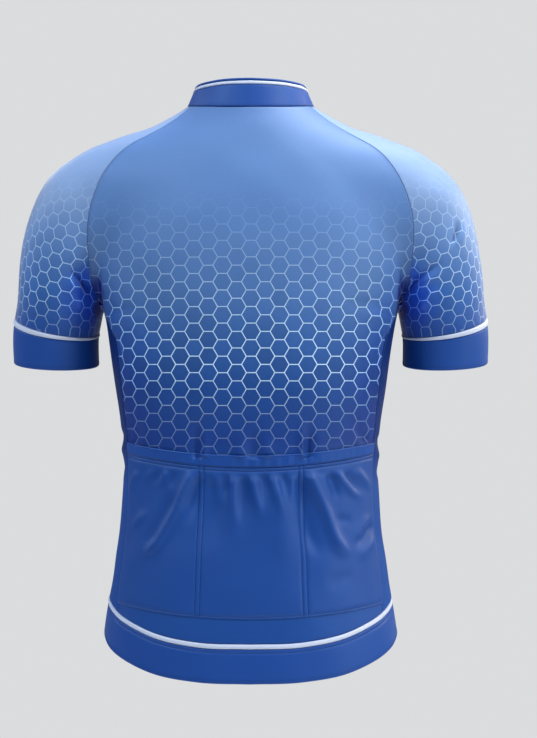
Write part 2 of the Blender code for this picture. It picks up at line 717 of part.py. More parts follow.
# ---- The jersey --------------------------------------------------------------------------------------
def make_jersey():
    make_finishes()
    lines = seams()
    back, front, side = back_grid(lines), front_grid(lines), side_grid(lines)
    back_out, front_out, side_out = outward(back), outward(front), outward(side)

    all_edges = ("top", "bottom", "first", "last")
    wall_solid("back_panel", "light_knit", pull_in(back, all_edges), back_out, CLOTH)
    both_sides("front", "light_knit", pull_in(front, ("top", "bottom", "last")), front_out, CLOTH)
    both_sides("side", "deep_knit", pull_in(side, all_edges), side_out, CLOTH)

    band_row = RAGLAN_ROWS + WAIST_ROWS
    pocket_end = band_row + 1 + POCKET_ROWS
    pocket = pull_in(back[band_row + 1:pocket_end + 1], ("top", "first", "last"))
    pocket_out = back_out[band_row + 1:pocket_end + 1]
    wall_solid("pocket_panel", "deep_knit", pocket, pocket_out, CLOTH, lift=LAYER_GAP + CLOTH)
    band = pull_in(back[band_row:band_row + 2], ("bottom", "first", "last"))
    wall_solid("pocket_band", "deep_knit", band, back_out[band_row:band_row + 2], TRIM_CLOTH,
               lift=LAYER_GAP + TRIM_CLOTH)

    edge = armhole(lines)
    sleeve = sleeve_grid(edge)
    even = sleeve_turns(edge)[2]
    cuff_start = CUFF_PIPING_TALL
    piping_ring = cuff_ring(even, SEAM_GAP / 2, cuff_start - SEAM_GAP / 2, 1)
    cuff = cuff_ring(even, cuff_start + SEAM_GAP / 2, cuff_start + CUFF_TALL, 2)
    ring = {"closed": True}
    sleeve_cut = pull_in(sleeve, ("top", "bottom"))
    both_sides("sleeve", "light_knit", sleeve_cut, outward(sleeve), CLOTH, **ring)
    both_sides("cuff_piping", "white_trim", piping_ring, outward(piping_ring), TRIM_CLOTH, **ring)
    both_sides("cuff", "deep_knit", cuff, outward(cuff), TRIM_CLOTH, **ring)

    collar = collar_grids()
    finishes = {"collar": "deep_knit", "collar_piping": "white_trim", "collar_binding": "deep_knit"}
    for name, (points, normals) in collar.items():
        wall_solid(name, finishes[name], points, normals, COLLAR_CLOTH)

    piping, hem_band = hem_grids(back, side, front)
    wall_solid("hem_piping", "white_trim", *piping, TRIM_CLOTH)
    wall_solid("hem_band", "deep_knit", *hem_band, TRIM_CLOTH)

    zip_points, zip_out = zip_grid(front, collar, piping, hem_band)
    both_sides("zip", "zip_tape", zip_points, zip_out, ZIP_CLOTH, lift=ZIP_PROUD)
    make_slider(zip_points, zip_out)


for old in list(bpy.data.objects):
    bpy.data.objects.remove(old)
make_jersey()
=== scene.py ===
"""The looks of a short-sleeved raglan cycling jersey, made over its construction frame.

Every cloth piece is a thin shell with its own cut. Its points are laid on the jersey's worn form between
the seams, moved by the listed folds, and rounded off along its edges. Sizes are in millimetres until
a mesh is made. The jersey stands along +Z with its back towards -Y, and its origin is the middle of the
neck opening.
"""
import math

import bmesh
import bpy
import numpy as np
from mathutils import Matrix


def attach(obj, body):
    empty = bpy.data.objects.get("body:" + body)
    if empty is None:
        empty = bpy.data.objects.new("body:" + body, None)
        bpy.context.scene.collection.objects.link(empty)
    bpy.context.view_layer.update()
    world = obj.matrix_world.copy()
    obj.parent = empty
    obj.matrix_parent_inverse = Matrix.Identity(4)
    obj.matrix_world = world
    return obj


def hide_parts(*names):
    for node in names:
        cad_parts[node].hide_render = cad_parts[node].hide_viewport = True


MM = 0.001

# ---- Cloth, as in the construction
CLOTH = 1.2         # knitted panels
COLLAR_CLOTH = 1.8  # stand collar, cut double
TRIM_CLOTH = 1.6    # piping and bands, folded
ZIP_CLOTH = 2.0     # zip tape with its coil
SEAM_GAP = 0.4      # between two pieces at a seam
LAYER_GAP = 0.3     # between a piece and the one it lies on

# ---- The worn form
# Torso sections: height, half width, depth behind the axis, depth before it, squareness.
TORSO = (
    (60, 62, 52, 58, 2.0),
    (25, 66, 57, 58, 2.0),
    (3, 74, 61, 58, 2.0),
    (-6, 85, 66, 58, 2.0),
    (-15, 98, 71, 60, 2.0),
    (-25, 113, 77, 62, 2.0),
    (-38, 136, 84, 66, 2.05),
    (-55, 162, 92, 72, 2.1),
    (-80, 180, 102, 84, 2.15),
    (-115, 187, 112, 98, 2.2),
    (-160, 187, 119, 110, 2.3),
    (-215, 181, 121, 117, 2.3),
    (-264, 172, 118, 116, 2.3),
    (-299, 166.5, 112, 109, 2.3),
    (-337, 161.5, 106, 103, 2.3),
    (-377, 155.7, 100, 98, 2.3),
    (-406, 152.8, 98, 96, 2.3),
    (-433, 152.3, 98, 96, 2.3),
    (-462, 153.8, 100, 98, 2.3),
    (-508, 157.2, 106, 101, 2.3),
    (-535, 161.5, 111, 103, 2.3),
    (-569, 166.0, 117, 104.5, 2.3),
    (-592, 170.0, 120, 105, 2.3),
    (-620, 174.5, 123, 105, 2.3),
    (-700, 179, 127, 104, 2.3),
)
# Arm sections along the arm's axis: axis point x, y, z, radius across, radius front to back.
ARM = (
    (20, -12, -52, 30, 32),
    (60, -10, -62, 32, 34),
    (105, -8, -76, 37, 42),
    (149, -7, -90, 47, 51),
    (181, -6, -107, 55.5, 58),
    (198, -5, -123, 58.5, 61),
    (208, -3, -141, 57.5, 61.5),
    (217, 0, -165, 55.5, 60.5),
    (223, 4, -190, 54, 59),
    (230, 13, -240, 52, 56),
    (234.5, 18, -265, 51.7, 54.5),
    (235, 26, -315, 51.2, 53),
    (235.5, 31, -345, 51, 52.5),
)
AXIS_SAMPLES = 97
ARM_REACH = -400.0                        # below this the arms no longer bear on the torso
STEPS_OUT = 16                            # steps of a walk from inside the form to its surface
SLOPE_LEAST, SLOPE_MOST = 0.12, 1.3       # how slowly or quickly such a walk may near the surface
INSIDE = 12.0                             # how far inside the torso a walk to its side starts
BLEND_HIGH, BLEND_LOW = 44.0, 5.0         # how softly arm and torso merge above and below
BLEND_TOP, BLEND_BOTTOM = -130.0, -225.0  # heights between which that changes
LEAST_STEP = 1e-3                         # a shorter step of a walk says nothing about its speed
FAR = 1e3                                 # the arm's distance where there is no arm

# ---- Seams
NECK = (76.0, 65.0, 70.0, 2.1)  # half width, depth behind, depth before, squareness
COLLAR_RIM = (66.0, 57.0, 61.0, 2.1)
# Height of the collar's top edge, by the angle round the neck from the centre back.
COLLAR_RIM_HEIGHT = ((0, 31), (45, 29.5), (90, 23.5), (120, 13), (150, -3), (180, -12))
COLLAR_BINDING_TALL = 3.8
COLLAR_PIPING_TALL = 4.2
NECK_BACK_SEAM = 71.0
NECK_FRONT_SEAM = 138.0
# Raglan seams from the neck to the underarm: half width, height.
RAGLAN_BACK = ((89, -15.5), (104, -26), (119, -35), (145, -50), (169.5, -77.5), (183, -106),
               (190, -133), (191.5, -160.5), (190, -187.5), (186, -209), (181, -229))
RAGLAN_FRONT = ((66, -41), (86, -60), (108, -80), (131, -103), (150, -129), (163, -159),
                (171, -190), (175, -220))
UNDERARM_X, UNDERARM_BACK, UNDERARM_FRONT = 176.5, -16.0, 28.0
UNDERARM_Z, UNDERARM_ABOVE = -243.0, -215.0
# Side seams below the underarm: height, half width.
SIDE_SEAM = ((-243, 176), (-249, 173.5), (-256, 169.5), (-266, 164.5), (-284, 158.5), (-325, 153.5),
             (-372, 148), (-402, 145), (-440, 144), (-485, 144.5), (-520, 148), (-549, 151.8),
             (-584, 154.8), (-605, 156), (-640, 157))
# Hem, by the angle from the centre back: middle of the piping, bottom edge of the hem band.
HEM = ((0, -631, -674), (28, -629, -672), (46, -621.5, -665.5), (61, -608.5, -653), (82, -589, -632),
       (100, -577, -618), (130, -568, -608.5), (180, -564, -605))
HEM_PIPING_TALL = 5.8
# Heights of the pocket lines at the centre back and at the side seam.
POCKET_BAND_TOP = (-412, -398.5)
POCKET_BAND_BOTTOM = (-426.5, -412.5)
POCKET_BOTTOM = (-600, -588)
# Seams between the pockets: half width at the top and at the bottom, left and right.
POCKET_SEAM_LEFT = (-56, -61.5)
POCKET_SEAM_RIGHT = (58.5, 64)
CENTRE_BACK_UNDERARM = -238.0  # height there of the row that ends at the underarm
CUFF_TOP_Z = -261.0
CUFF_PIPING_TALL = 5.9
CUFF_TALL = 40.0
CUFF_OUTER_RISE = 2.5
# Heights from which walks find the neck seam, and near which the side seams meet the hem.
NECK_WALK_FROM, BACK_HEM_GUESS, FRONT_HEM_GUESS = -120.0, -598.0, -575.0
HEM_ROUNDS, SIDE_HEM_ROUNDS = 3, 8  # how often a line is moved until it meets the hem
ZIP_HALF = 4.0
ZIP_CENTRE_GAP = 0.3
ZIP_PROUD = 0.4

# ---- How finely the cloth is laid
BACK_COLUMNS = 108
FRONT_COLUMNS = 44
SIDE_COLUMNS = 14
NECK_EDGE_COLUMNS = 14
RAGLAN_ROWS = 64
WAIST_ROWS = 48
BAND_ROWS = 6
POCKET_ROWS = 56
TAIL_ROWS = 9
SLEEVE_ROWS = 62
TRIM_ROWS = 8
CUFF_ROWS = 14
HEM_ROWS = 14
COLLAR_ROWS = 9
NECK_SETTLE_ROWS = RAGLAN_ROWS // 4  # rows over which the cloth settles to the neck seam
CENTRE_CROWDING = 1.15               # above 1, rows down the centre back lie closer at the neck
COLUMN_SWEEP = 72.0                  # columns lie closer at the sides, as the sine of an angle up to this
# Extra lines beside a cut edge, as distances from it, and how far the cloth rounds inward there.
EDGE_LINES = ((0.0, 0.85), (0.6, 0.36), (1.5, 0.06))
EDGE_RISE = 0.12     # share of that rounding on the cloth's wrong side
EDGE_CROWDING = 0.3  # the first extra line is no further than this share of the way to the next

# ---- Folds, as seen from each side
# Height (a trough is negative), half width, share of its length that the fold fades over at its start and
# at its end, and its places: x and height, or y and height on a side.
BACK_FOLDS = (
    # Drawn in above the pockets, where their seams pull.
    (-4.4, 5.0, 0.7, 0.02, ((-65, -366), (-62, -392), (-61, -416))),
    (3.2, 4.5, 0.7, 0.02, ((-52, -374), (-52, -394), (-53, -414))),
    (-3.2, 7.5, 0.8, 0.02, ((5, -372), (4, -392), (3, -416))),
    (2.0, 5.5, 0.8, 0.02, ((-11, -380), (-12, -414))),
    (1.9, 6.0, 0.8, 0.02, ((19, -384), (20, -414))),
    (-4.4, 4.5, 0.7, 0.02, ((72, -366), (69, -392), (68, -416))),
    (3.8, 4.0, 0.7, 0.02, ((60, -366), (60, -390), (60, -414))),
    (-2.2, 6.0, 0.6, 0.1, ((-128, -372), (-132, -388), (-137, -402))),
    (-2.4, 6.0, 0.6, 0.1, ((121, -366), (128, -384), (136, -400))),
    # Right pocket.
    (-5.0, 9.0, 0.16, 0.35, ((57, -432), (61, -470), (72, -512), (84, -536))),
    (7.4, 7.0, 0.10, 0.22, ((66, -430), (76, -452), (87, -478), (99, -512), (115, -535))),
    (2.4, 4.0, 0.16, 0.6, ((82, -433), (87, -454), (92, -472))),
    (-3.6, 4.5, 0.16, 0.5, ((91, -433), (97, -450), (103, -468))),
    (3.8, 4.2, 0.12, 0.5, ((98, -430), (108, -444), (117, -455), (132, -465))),
    (-3.1, 5.0, 0.16, 0.5, ((111, -432), (120, -446), (131, -457))),
    (2.9, 4.0, 0.16, 0.5, ((123, -429), (133, -443), (142, -456))),
    (-2.4, 5.0, 0.4, 0.4, ((96, -484), (108, -488), (120, -488))),
    (2.4, 5.0, 0.3, 0.4, ((139, -482), (128, -498), (116, -512))),
    (-3.8, 4.5, 0.2, 0.4, ((143, -492), (133, -508), (122, -523))),
    (3.1, 6.5, 0.3, 0.4, ((146, -507), (135, -522), (122, -537))),
    (-1.9, 9.0, 0.4, 0.4, ((124, -548), (106, -556), (86, -563))),
    # Left pocket.
    (-5.0, 7.5, 0.16, 0.55, ((-61, -432), (-66, -462), (-74, -498))),
    (6.5, 5.6, 0.10, 0.18, ((-64, -430), (-75, -452), (-84, -473), (-98, -499), (-108, -516),
                            (-124, -534))),
    (-2.2, 7.5, 0.3, 0.3, ((-82, -450), (-95, -480), (-110, -508), (-124, -524))),
    (-2.0, 3.6, 0.16, 0.6, ((-88, -431), (-93, -454))),
    (2.2, 3.8, 0.16, 0.6, ((-96, -430), (-103, -452))),
    (-1.8, 3.8, 0.16, 0.6, ((-105, -430), (-112, -449))),
    (1.9, 4.0, 0.16, 0.6, ((-113, -429), (-121, -447))),
    (2.2, 4.6, 0.45, 0.45, ((-140, -500), (-131, -491), (-117, -475))),
    (2.6, 4.0, 0.2, 0.5, ((-130, -431), (-137, -446), (-141, -462))),
    # Middle pocket, gathered by its band.
    (-4.1, 13.0, 0.2, 0.6, ((-40, -432), (-44, -480), (-40, -530))),
    (3.8, 17.0, 0.2, 0.5, ((28, -436), (36, -490), (40, -560))),
    (2.6, 5.0, 0.2, 0.7, ((-38, -432), (-37, -476))),
    (-2.6, 4.5, 0.2, 0.6, ((-29, -432), (-28, -468))),
    (4.0, 5.8, 0.16, 0.7, ((-19, -432), (-20, -505))),
    (-4.7, 6.0, 0.16, 0.7, ((-8, -432), (-7, -515))),
    (4.7, 5.2, 0.18, 0.65, ((2, -432), (8, -463), (14, -496))),
    (-3.8, 5.0, 0.18, 0.7, ((15, -432), (20, -480))),
    (4.3, 5.0, 0.18, 0.65, ((25, -432), (33, -463), (38, -490))),
    (-3.1, 4.4, 0.2, 0.7, ((38, -432), (42, -468))),
    (2.8, 4.4, 0.2, 0.7, ((47, -432), (51, -472))),
    # Sleeves.
    (-5.2, 3.4, 0.4, 0.4, ((247, -136), (242, -153), (235, -169))),
    (3.0, 4.5, 0.4, 0.4, ((254, -138), (250, -155), (243, -172))),
    (-4.4, 4.6, 0.4, 0.15, ((226, -182), (212, -195), (199, -204), (184, -216))),
    (3.2, 6.0, 0.4, 0.2, ((232, -191), (215, -204), (200, -213), (184, -226))),
    (-4.0, 6.0, 0.5, 0.35, ((196, -190), (190, -208), (182, -226))),
    (-4.8, 4.2, 0.35, 0.2, ((-213, -193), (-203, -204), (-190, -219))),
    (2.6, 5.0, 0.4, 0.2, ((-216, -202), (-203, -214), (-190, -227))),
    (-5.2, 7.0, 0.5, 0.35, ((-197, -184), (-190, -206), (-182, -226))),
    (-4.2, 6.5, 0.5, 0.35, ((-203, -190), (-197, -210), (-189, -230))),
    (3.0, 6.0, 0.4, 0.1, ((-219, -204), (-209, -220), (-199, -240))),
    (-4.0, 6.0, 0.5, 0.35, ((203, -196), (197, -212), (189, -230))),
    (2.6, 6.0, 0.4, 0.1, ((220, -212), (210, -226), (200, -242))),
    # Below the underarms.
    (-2.6, 6.0, 0.15, 0.6, ((-170, -246), (-148, -240), (-126, -243), (-104, -252))),
    (2.0, 6.0, 0.15, 0.6, ((-168, -258), (-148, -254), (-126, -259))),
    (-2.4, 5.0, 0.15, 0.6, ((-163, -268), (-154, -290), (-148, -322))),
    (-2.8, 6.0, 0.15, 0.6, ((170, -246), (149, -238), (127, -236), (102, -240))),
    (2.0, 6.0, 0.15, 0.6, ((168, -258), (148, -251), (126, -251))),
    (-2.6, 5.0, 0.15, 0.6, ((163, -266), (155, -288), (149, -316))),
)
FRONT_FOLDS = (
    # Sleeves.
    (-3.2, 4.6, 0.35, 0.2, ((232, -178), (216, -192), (200, -204), (184, -222))),
    (2.3, 6.0, 0.35, 0.25, ((236, -190), (218, -204), (200, -218))),
    (-2.6, 4.0, 0.4, 0.4, ((256, -150), (250, -164), (240, -178))),
    (-3.5, 5.2, 0.35, 0.2, ((-228, -170), (-210, -188), (-196, -202), (-182, -220))),
    (2.2, 6.5, 0.35, 0.3, ((-238, -180), (-220, -198), (-200, -216))),
    (-2.2, 4.4, 0.4, 0.4, ((-250, -196), (-238, -206), (-222, -214))),
    # Chest and waist.
    (-3.0, 9.0, 0.15, 0.6, ((166, -214), (140, -204), (112, -200), (84, -202))),
    (2.3, 9.0, 0.15, 0.6, ((166, -238), (138, -228), (108, -224))),
    (-3.2, 9.0, 0.15, 0.6, ((-167, -208), (-144, -196), (-118, -190), (-96, -190))),
    (2.5, 8.0, 0.2, 0.6, ((-166, -232), (-142, -219), (-116, -212))),
    (-2.3, 8.0, 0.3, 0.5, ((142, -388), (112, -398), (80, -401), (52, -397))),
    (2.5, 8.5, 0.3, 0.5, ((143, -408), (112, -419), (78, -424), (46, -420))),
    (-2.2, 8.0, 0.3, 0.5, ((146, -436), (120, -446), (92, -450))),
    (-2.5, 8.5, 0.3, 0.5, ((-141, -396), (-108, -406), (-76, -406), (-44, -400))),
    (2.2, 8.0, 0.3, 0.5, ((-144, -416), (-116, -428), (-84, -431))),
    (-1.7, 8.0, 0.3, 0.6, ((-148, -452), (-122, -464), (-90, -468))),
    (1.7, 7.0, 0.1, 0.7, ((8, -292), (30, -296), (52, -304))),
    (-1.7, 7.0, 0.1, 0.7, ((8, -334), (28, -336), (54, -332))),
    (1.6, 7.0, 0.1, 0.7, ((-8, -312), (-30, -316), (-50, -326))),
    (-1.7, 7.0, 0.1, 0.7, ((-8, -372), (-32, -372), (-60, -366))),
    (-1.9, 7.5, 0.1, 0.6, ((8, -492), (34, -486), (70, -472))),
    (1.9, 7.5, 0.1, 0.6, ((-8, -508), (-40, -500), (-78, -484))),
)
RIGHT_FOLDS = (
    (-2.0, 6.0, 0.4, 0.4, ((-44, -388), (-16, -398), (16, -394))),
    (1.7, 6.5, 0.4, 0.4, ((-40, -406), (-12, -415), (22, -411))),
    (-1.5, 6.5, 0.4, 0.4, ((-30, -428), (0, -436), (32, -430))),
)
LEFT_FOLDS = (
    (-2.1, 6.5, 0.4, 0.4, ((-46, -380), (-12, -392), (20, -388))),
    (1.8, 6.0, 0.4, 0.4, ((-38, -399), (-8, -409), (24, -404))),
    (-1.4, 7.0, 0.4, 0.4, ((-34, -420), (2, -430), (30, -424))),
)
FOLDS = {"back": BACK_FOLDS, "front": FRONT_FOLDS, "right": RIGHT_FOLDS, "left": LEFT_FOLDS}
FOLD_POINTS = 14
FOLD_REACH = 3  # half widths past which a fold moves nothing
# Slow unevenness of the whole cloth: height, and wave lengths along x, y and z.
SLOW_WAVES = ((0.35, 151.0, 133.0, 97.0), (0.25, 83.0, 109.0, 141.0))
SLOW_TWIST = 1.3  # how far the waves along y bend those along x

# ---- Pockets
POCKET_PUFF = 1.6         # how far each pocket stands out in its middle
PUFF_POWERS = (0.7, 0.8)  # how full that is across and down: 1 is a plain sine, less is fuller
MOUTH_PUFF = 1.5          # how far the band stands off the back between the pocket seams
MOUTH_POWER = 0.6         # how full that is across
MOUTH_CLOSED = 0.8        # share of it that is gone at the band's bottom
TWIN_HALF = 2.8           # half the distance between the two rows of a twin stitch
TOP_STITCH_DROP = 4.2     # from the band's bottom edge to the second row of stitches
BOTTOM_STITCH_RISE = 2.4  # from the pocket's bottom edge to its stitches
# A stitched groove: offsets from its middle, depths.
GROOVE = ((-1.6, 0.0), (-0.7, 0.45), (0.0, 1.0), (0.7, 0.45), (1.6, 0.0))
HEM_GROOVE = 0.7  # share of that depth at the hem's stitches
SIDE_POCKET_COLUMNS, MIDDLE_POCKET_COLUMNS = 28, 38
BAND_COLUMNS = 190
GATHER_SPAN = (0.1, 0.9)  # the part of half a wave that a gather's height follows down the band
# Gathers of the pocket band: x, height, half width.
BAND_GATHERS = ((-112, 0.24, 2.4), (-97, -0.24, 2.6), (-80, 0.24, 2.2), (-63, -0.69, 2.6), (-44, 0.30, 2.2),
                (-34, -0.33, 2.0), (-22, 0.52, 2.2), (-14, -0.69, 2.0), (-7, 0.61, 1.9), (-1, -0.69, 1.9),
                (6, 0.69, 2.0), (12, -0.61, 1.8), (18, 0.61, 1.9), (25, -0.61, 2.0), (31, 0.52, 1.8),
                (37, -0.52, 2.0), (44, 0.46, 2.1), (51, -0.46, 2.0), (66, -0.77, 2.6), (82, 0.30, 2.4),
                (97, -0.30, 2.6), (110, 0.30, 2.2), (122, -0.38, 2.4), (133, 0.30, 2.2))

# ---- Stitches
STITCH_PITCH = 2.7
STITCH_SIZE = (2.1, 0.46, 0.34)  # long, wide, high
STITCH_SUNK = 0.06
SEAM_STITCH_INSET = 2.6
ZIP_STITCH_INSETS = (1.5, 4.6)
HEM_TOP_STITCH_INSET = 4.6
HEM_STITCH_INSETS = (2.2, 4.4)
COLLAR_STITCH_INSET = 1.7
BAND_STITCH_INSET = 1.7
OVERLOCK_HALF_WIDE, OVERLOCK_HALF_HIGH = 2.6, 0.55
OVERLOCK_STEP, OVERLOCK_SIDES = 3.0, 8
OVERLOCK_CLEAR = 0.12
# How far the middles of the pipings and of the collar's binding stand out, and how full their rounding is.
PIPING_CROWN, COLLAR_PIPING_CROWN, COLLAR_BINDING_CROWN = 0.85, 0.68, 0.5
CROWN_POWER = 0.6
# Angles in degrees past which an edge stays sharp.
CLOTH_SHARP, THREAD_SHARP, COIL_SHARP, METAL_SHARP = 50, 80, 60, 35

# ---- Zip
TOOTH_PITCH = 1.5
TOOTH_SIZE = (3.1, 0.95, 1.1)  # across the zip, down it, out of it
TOOTH_INNER = -0.35            # how far a tooth reaches over the zip's middle
TOOTH_SUNK = 0.3
ZIP_STEP = 1.0
# Across a zip tape from its coil to the cloth: distance from the zip's middle, how proud it is.
TAPE_PROFILE = ((ZIP_CENTRE_GAP / 2, -0.35), (0.6, -0.1), (1.5, 0.0), (1.9, 0.0), (2.15, 0.2), (2.5, 0.2),
                (2.75, 0.0), (ZIP_HALF - SEAM_GAP, -0.15))
# The slider and the pull tab, each about its own middle or hinge. Outlines: half width, distance down.
SLIDER_DROP = 9.0  # from the zip's top to the slider's middle
SLIDER_TALL = 2.2
SLIDER_OUTLINE = ((0, -5), (2.85, -4.8), (3.8, -3.6), (3.724, -1), (3.192, 1.6), (2.888, 4), (2.128, 4.9),
                  (0, 5))
SLIDER_RAIL = ((3.762, -3.8), (3.724, -1.0), (3.192, 1.6), (2.888, 4.1))
RAIL_TALL, RAIL_WIDE, RAIL_STEPS = 1.3, 0.8, 16
RAIL_OVERLAP = 0.15  # how far the slider's plate reaches down into its rails
SLIDER_DIVIDER = ((0, -4.9), (0.75, -4.2), (0.5, -2.4), (0, -1.6))
DIVIDER_FROM = 0.75
SLIDER_RIDGE = ((0, -2.6), (0.45, -2.0), (0.35, 2.0), (0, 2.6))
RIDGE_PLACE = (1.9, 0.2)  # each side of the slider's middle, down from it
RIDGE_SUNK, RIDGE_TALL = 0.1, 0.22
# The bridge that the pull tab hangs in: distance down, distance out from the slider's face.
BRIDGE = ((-3.45, -0.3), (-3.5, 0.9), (-2.5, 2.25), (0, 2.35), (2.5, 2.25), (3.5, 0.9), (3.45, -0.3))
BRIDGE_WIDE, BRIDGE_THICK, BRIDGE_STEPS = 2.0, 0.8, 25
STRAP_SECTION = ((-0.5, -0.3), (-0.5, 0.25), (-0.3, 0.5), (0.3, 0.5), (0.5, 0.25), (0.5, -0.3), (0.3, -0.5),
                 (-0.3, -0.5))      # shares of its width and thickness
HINGE_OUT = 1.0                     # from the slider's face to the pull tab's hinge
PULL_OUTLINE = ((0, -0.6), (2.4, -0.5), (3.0, 0.6), (2.85, 5.6), (2.16, 8.8), (2.4, 13.4), (2.94, 18.9),
                (2.34, 22.2), (0, 23.4))
PULL_HOLE = ((0, 0.6), (1.28, 0.6), (1.6, 1.2), (1.6, 2.2), (1.6, 3.0), (1.6, 3.8), (1.6, 4.8), (1.28, 5.4),
             (0, 5.4))
PULL_THICK = 1.0
GRIP_RIDGES, GRIP_PITCH, GRIP_FROM_END = 6, 1.25, 3.2
GRIP_SIZE, GRIP_SUNK = (3.4, 0.7, 0.5), 0.05
SLIDER_BEVEL, RAIL_BEVEL, FINE_BEVEL, PULL_BEVEL = 0.28, 0.15, 0.1, 0.2


# ---- Curves through tables
def read_table(table, at):
    """Every column of a table at the given values of its first column, on a smooth curve."""
    rows = np.asarray(table, float)
    rows = rows[np.argsort(rows[:, 0])]
    key = rows[:, 0]
    width = np.diff(key)
    slope = np.diff(rows, axis=0) / width[:, None]
    before, after = width[:-1, None], width[1:, None]
    inner = (slope[:-1] * after + slope[1:] * before) / (after + before)
    tangent = np.vstack([slope[:1], inner, slope[-1:]])
    at = np.clip(np.asarray(at, float), key[0], key[-1])
    i = np.clip(np.searchsorted(key, at, side="right") - 1, 0, len(width) - 1)
    span = width[i][..., None]
    t = (at[..., None] - key[i][..., None]) / span
    return ((2 * t**3 - 3 * t**2 + 1) * rows[i] + (t**3 - 2 * t**2 + t) * span * tangent[i]
            + (3 * t**2 - 2 * t**3) * rows[i + 1] + (t**3 - t**2) * span * tangent[i + 1])


def along(points, count):
    """Points at even steps along a smooth curve through the given ones, both ends included."""
    points = np.asarray(points, float)
    reach = lengths_along(points)
    table = np.column_stack([reach, points])
    return read_table(table, np.linspace(0, reach[-1], count))[:, 1:]


def lengths_along(points):
    return np.concatenate([[0], np.cumsum(np.linalg.norm(np.diff(points[:, :3], axis=0), axis=1))])


def unit(vectors):
    return vectors / np.maximum(np.linalg.norm(vectors, axis=-1, keepdims=True), 1e-12)


def ease(t):
    t = np.clip(t, 0, 1)
    return t * t * (3 - 2 * t)


def part_way(first, last, share):
    """What lies at a share of the way from one value to another."""
    return first + (last - first) * share


def between(first, last, count):
    """Even steps between two values, both ends left out."""
    return part_way(first, last, np.arange(1, count + 1) / (count + 1))


# ---- The form as a field: negative inside, about the distance in millimetres outside
def torso_radius(angle, height):
    """Distance from the torso's axis to its surface at an angle from the back and a height."""
    row = read_table(TORSO, height)
    side, back = np.abs(np.sin(angle)), np.cos(angle)
    deep = np.where(back > 0, row[..., 2], row[..., 3])
    square = row[..., 4]
    return ((side / row[..., 1])**square + (np.abs(back) / deep)**square) ** (-1 / square)


def torso_field(p):
    angle = np.arctan2(np.abs(p[..., 0]), -p[..., 1])
    height = p[..., 2]
    step = 2.0
    rise = (torso_radius(angle, height + step) - torso_radius(angle, height - step)) / (2 * step)
    return (np.hypot(p[..., 0], p[..., 1]) - torso_radius(angle, height)) / np.sqrt(1 + rise**2)


def arm_axis():
    """The arm's axis at even steps: lengths, table rows, and its along, outward and backward directions."""
    rows = np.array(ARM, float)
    reach = lengths_along(rows)
    length = np.linspace(0, reach[-1], AXIS_SAMPLES)
    axis = read_table(np.column_stack([reach, rows]), length)[:, 1:]
    down = unit(np.gradient(axis[:, :3], length, axis=0))
    backward = np.array([0.0, -1.0, 0.0])
    back = unit(backward - (down @ backward)[:, None] * down)
    return length, axis, down, np.cross(back, down), back


AXIS_LENGTH, AXIS, AXIS_DOWN, AXIS_OUT, AXIS_BACK = arm_axis()


def axis_at(length):
    """The arm's axis rows and directions at any length along it."""
    place = np.clip(length / AXIS_LENGTH[-1], 0, 1) * (AXIS_SAMPLES - 1)
    i = np.clip(place.astype(int), 0, AXIS_SAMPLES - 2)
    part = (place - i)[..., None]
    return [table[i] * (1 - part) + table[i + 1] * part for table in (AXIS, AXIS_DOWN, AXIS_OUT, AXIS_BACK)]


def arm_place(p):
    """Where points lie about the arm's axis: length along it, offsets out, back and along, table rows."""
    flat = p.reshape(-1, 3)
    centres = AXIS[:, :3]
    apart = (flat**2).sum(1)[:, None] + (centres**2).sum(1)[None, :] - 2 * flat @ centres.T
    near = apart.argmin(1)
    length = AXIS_LENGTH[near] + ((flat - AXIS[near, :3]) * AXIS_DOWN[near]).sum(1)
    length = np.clip(length, 0, AXIS_LENGTH[-1])
    axis, down, out, back = axis_at(length)
    away = flat - axis[:, :3]
    return length, (away * out).sum(1), (away * back).sum(1), (away * down).sum(1), axis


def arm_field(p):
    _, out, back, beyond, axis = arm_place(p)
    scaled = np.sqrt((out / axis[:, 3])**2 + (back / axis[:, 4])**2 + (beyond / axis[:, 3])**2) + 1e-9
    size = np.sqrt(out**2 + back**2 + beyond**2)
    return (size * (1 - 1 / scaled)).reshape(p.shape[:-1])


def form(p):
    """The whole worn form, both sides."""
    p = np.array(p, float)
    p[..., 0] = np.abs(p[..., 0])
    torso = torso_field(p)
    arm = np.full(torso.shape, FAR)
    reached = p[..., 2] > ARM_REACH
    if reached.any():
        arm[reached] = arm_field(p[reached])
    high = ease((p[..., 2] - BLEND_BOTTOM) / (BLEND_TOP - BLEND_BOTTOM))
    soft = part_way(BLEND_LOW, BLEND_HIGH, high)
    both = np.maximum(soft - np.abs(torso - arm), 0) / soft
    return np.minimum(torso, arm) - both * both * soft / 4


def leave(start, heading):
    """Where lines that start inside the form first leave it, by steps matched to how fast they near it."""
    start = np.asarray(start, float)
    heading = np.broadcast_to(np.asarray(heading, float), start.shape)
    way = np.zeros(start.shape[:-1])
    field = form(start)
    slope = np.ones_like(way)
    for _ in range(STEPS_OUT):
        step = -field / slope
        way = way + step
        new = form(start + heading * way[..., None])
        moved = np.abs(step) > LEAST_STEP
        measured = (new - field) / np.where(moved, step, 1)
        slope = np.where(moved, np.clip(measured, SLOPE_LEAST, SLOPE_MOST), slope)
        field = new
    return start + heading * way[..., None]


def facing(points, closed=False):
    """The outward direction of a laid grid, rows down and columns from the jersey's left to its right."""
    if closed:
        wrapped = np.concatenate([points[:, -2:-1], points, points[:, 1:2]], axis=1)
        across = np.gradient(wrapped, axis=1)[:, 1:-1]
    else:
        across = np.gradient(points, axis=1)
    down = np.gradient(points, axis=0)
    return unit(np.cross(down, across))


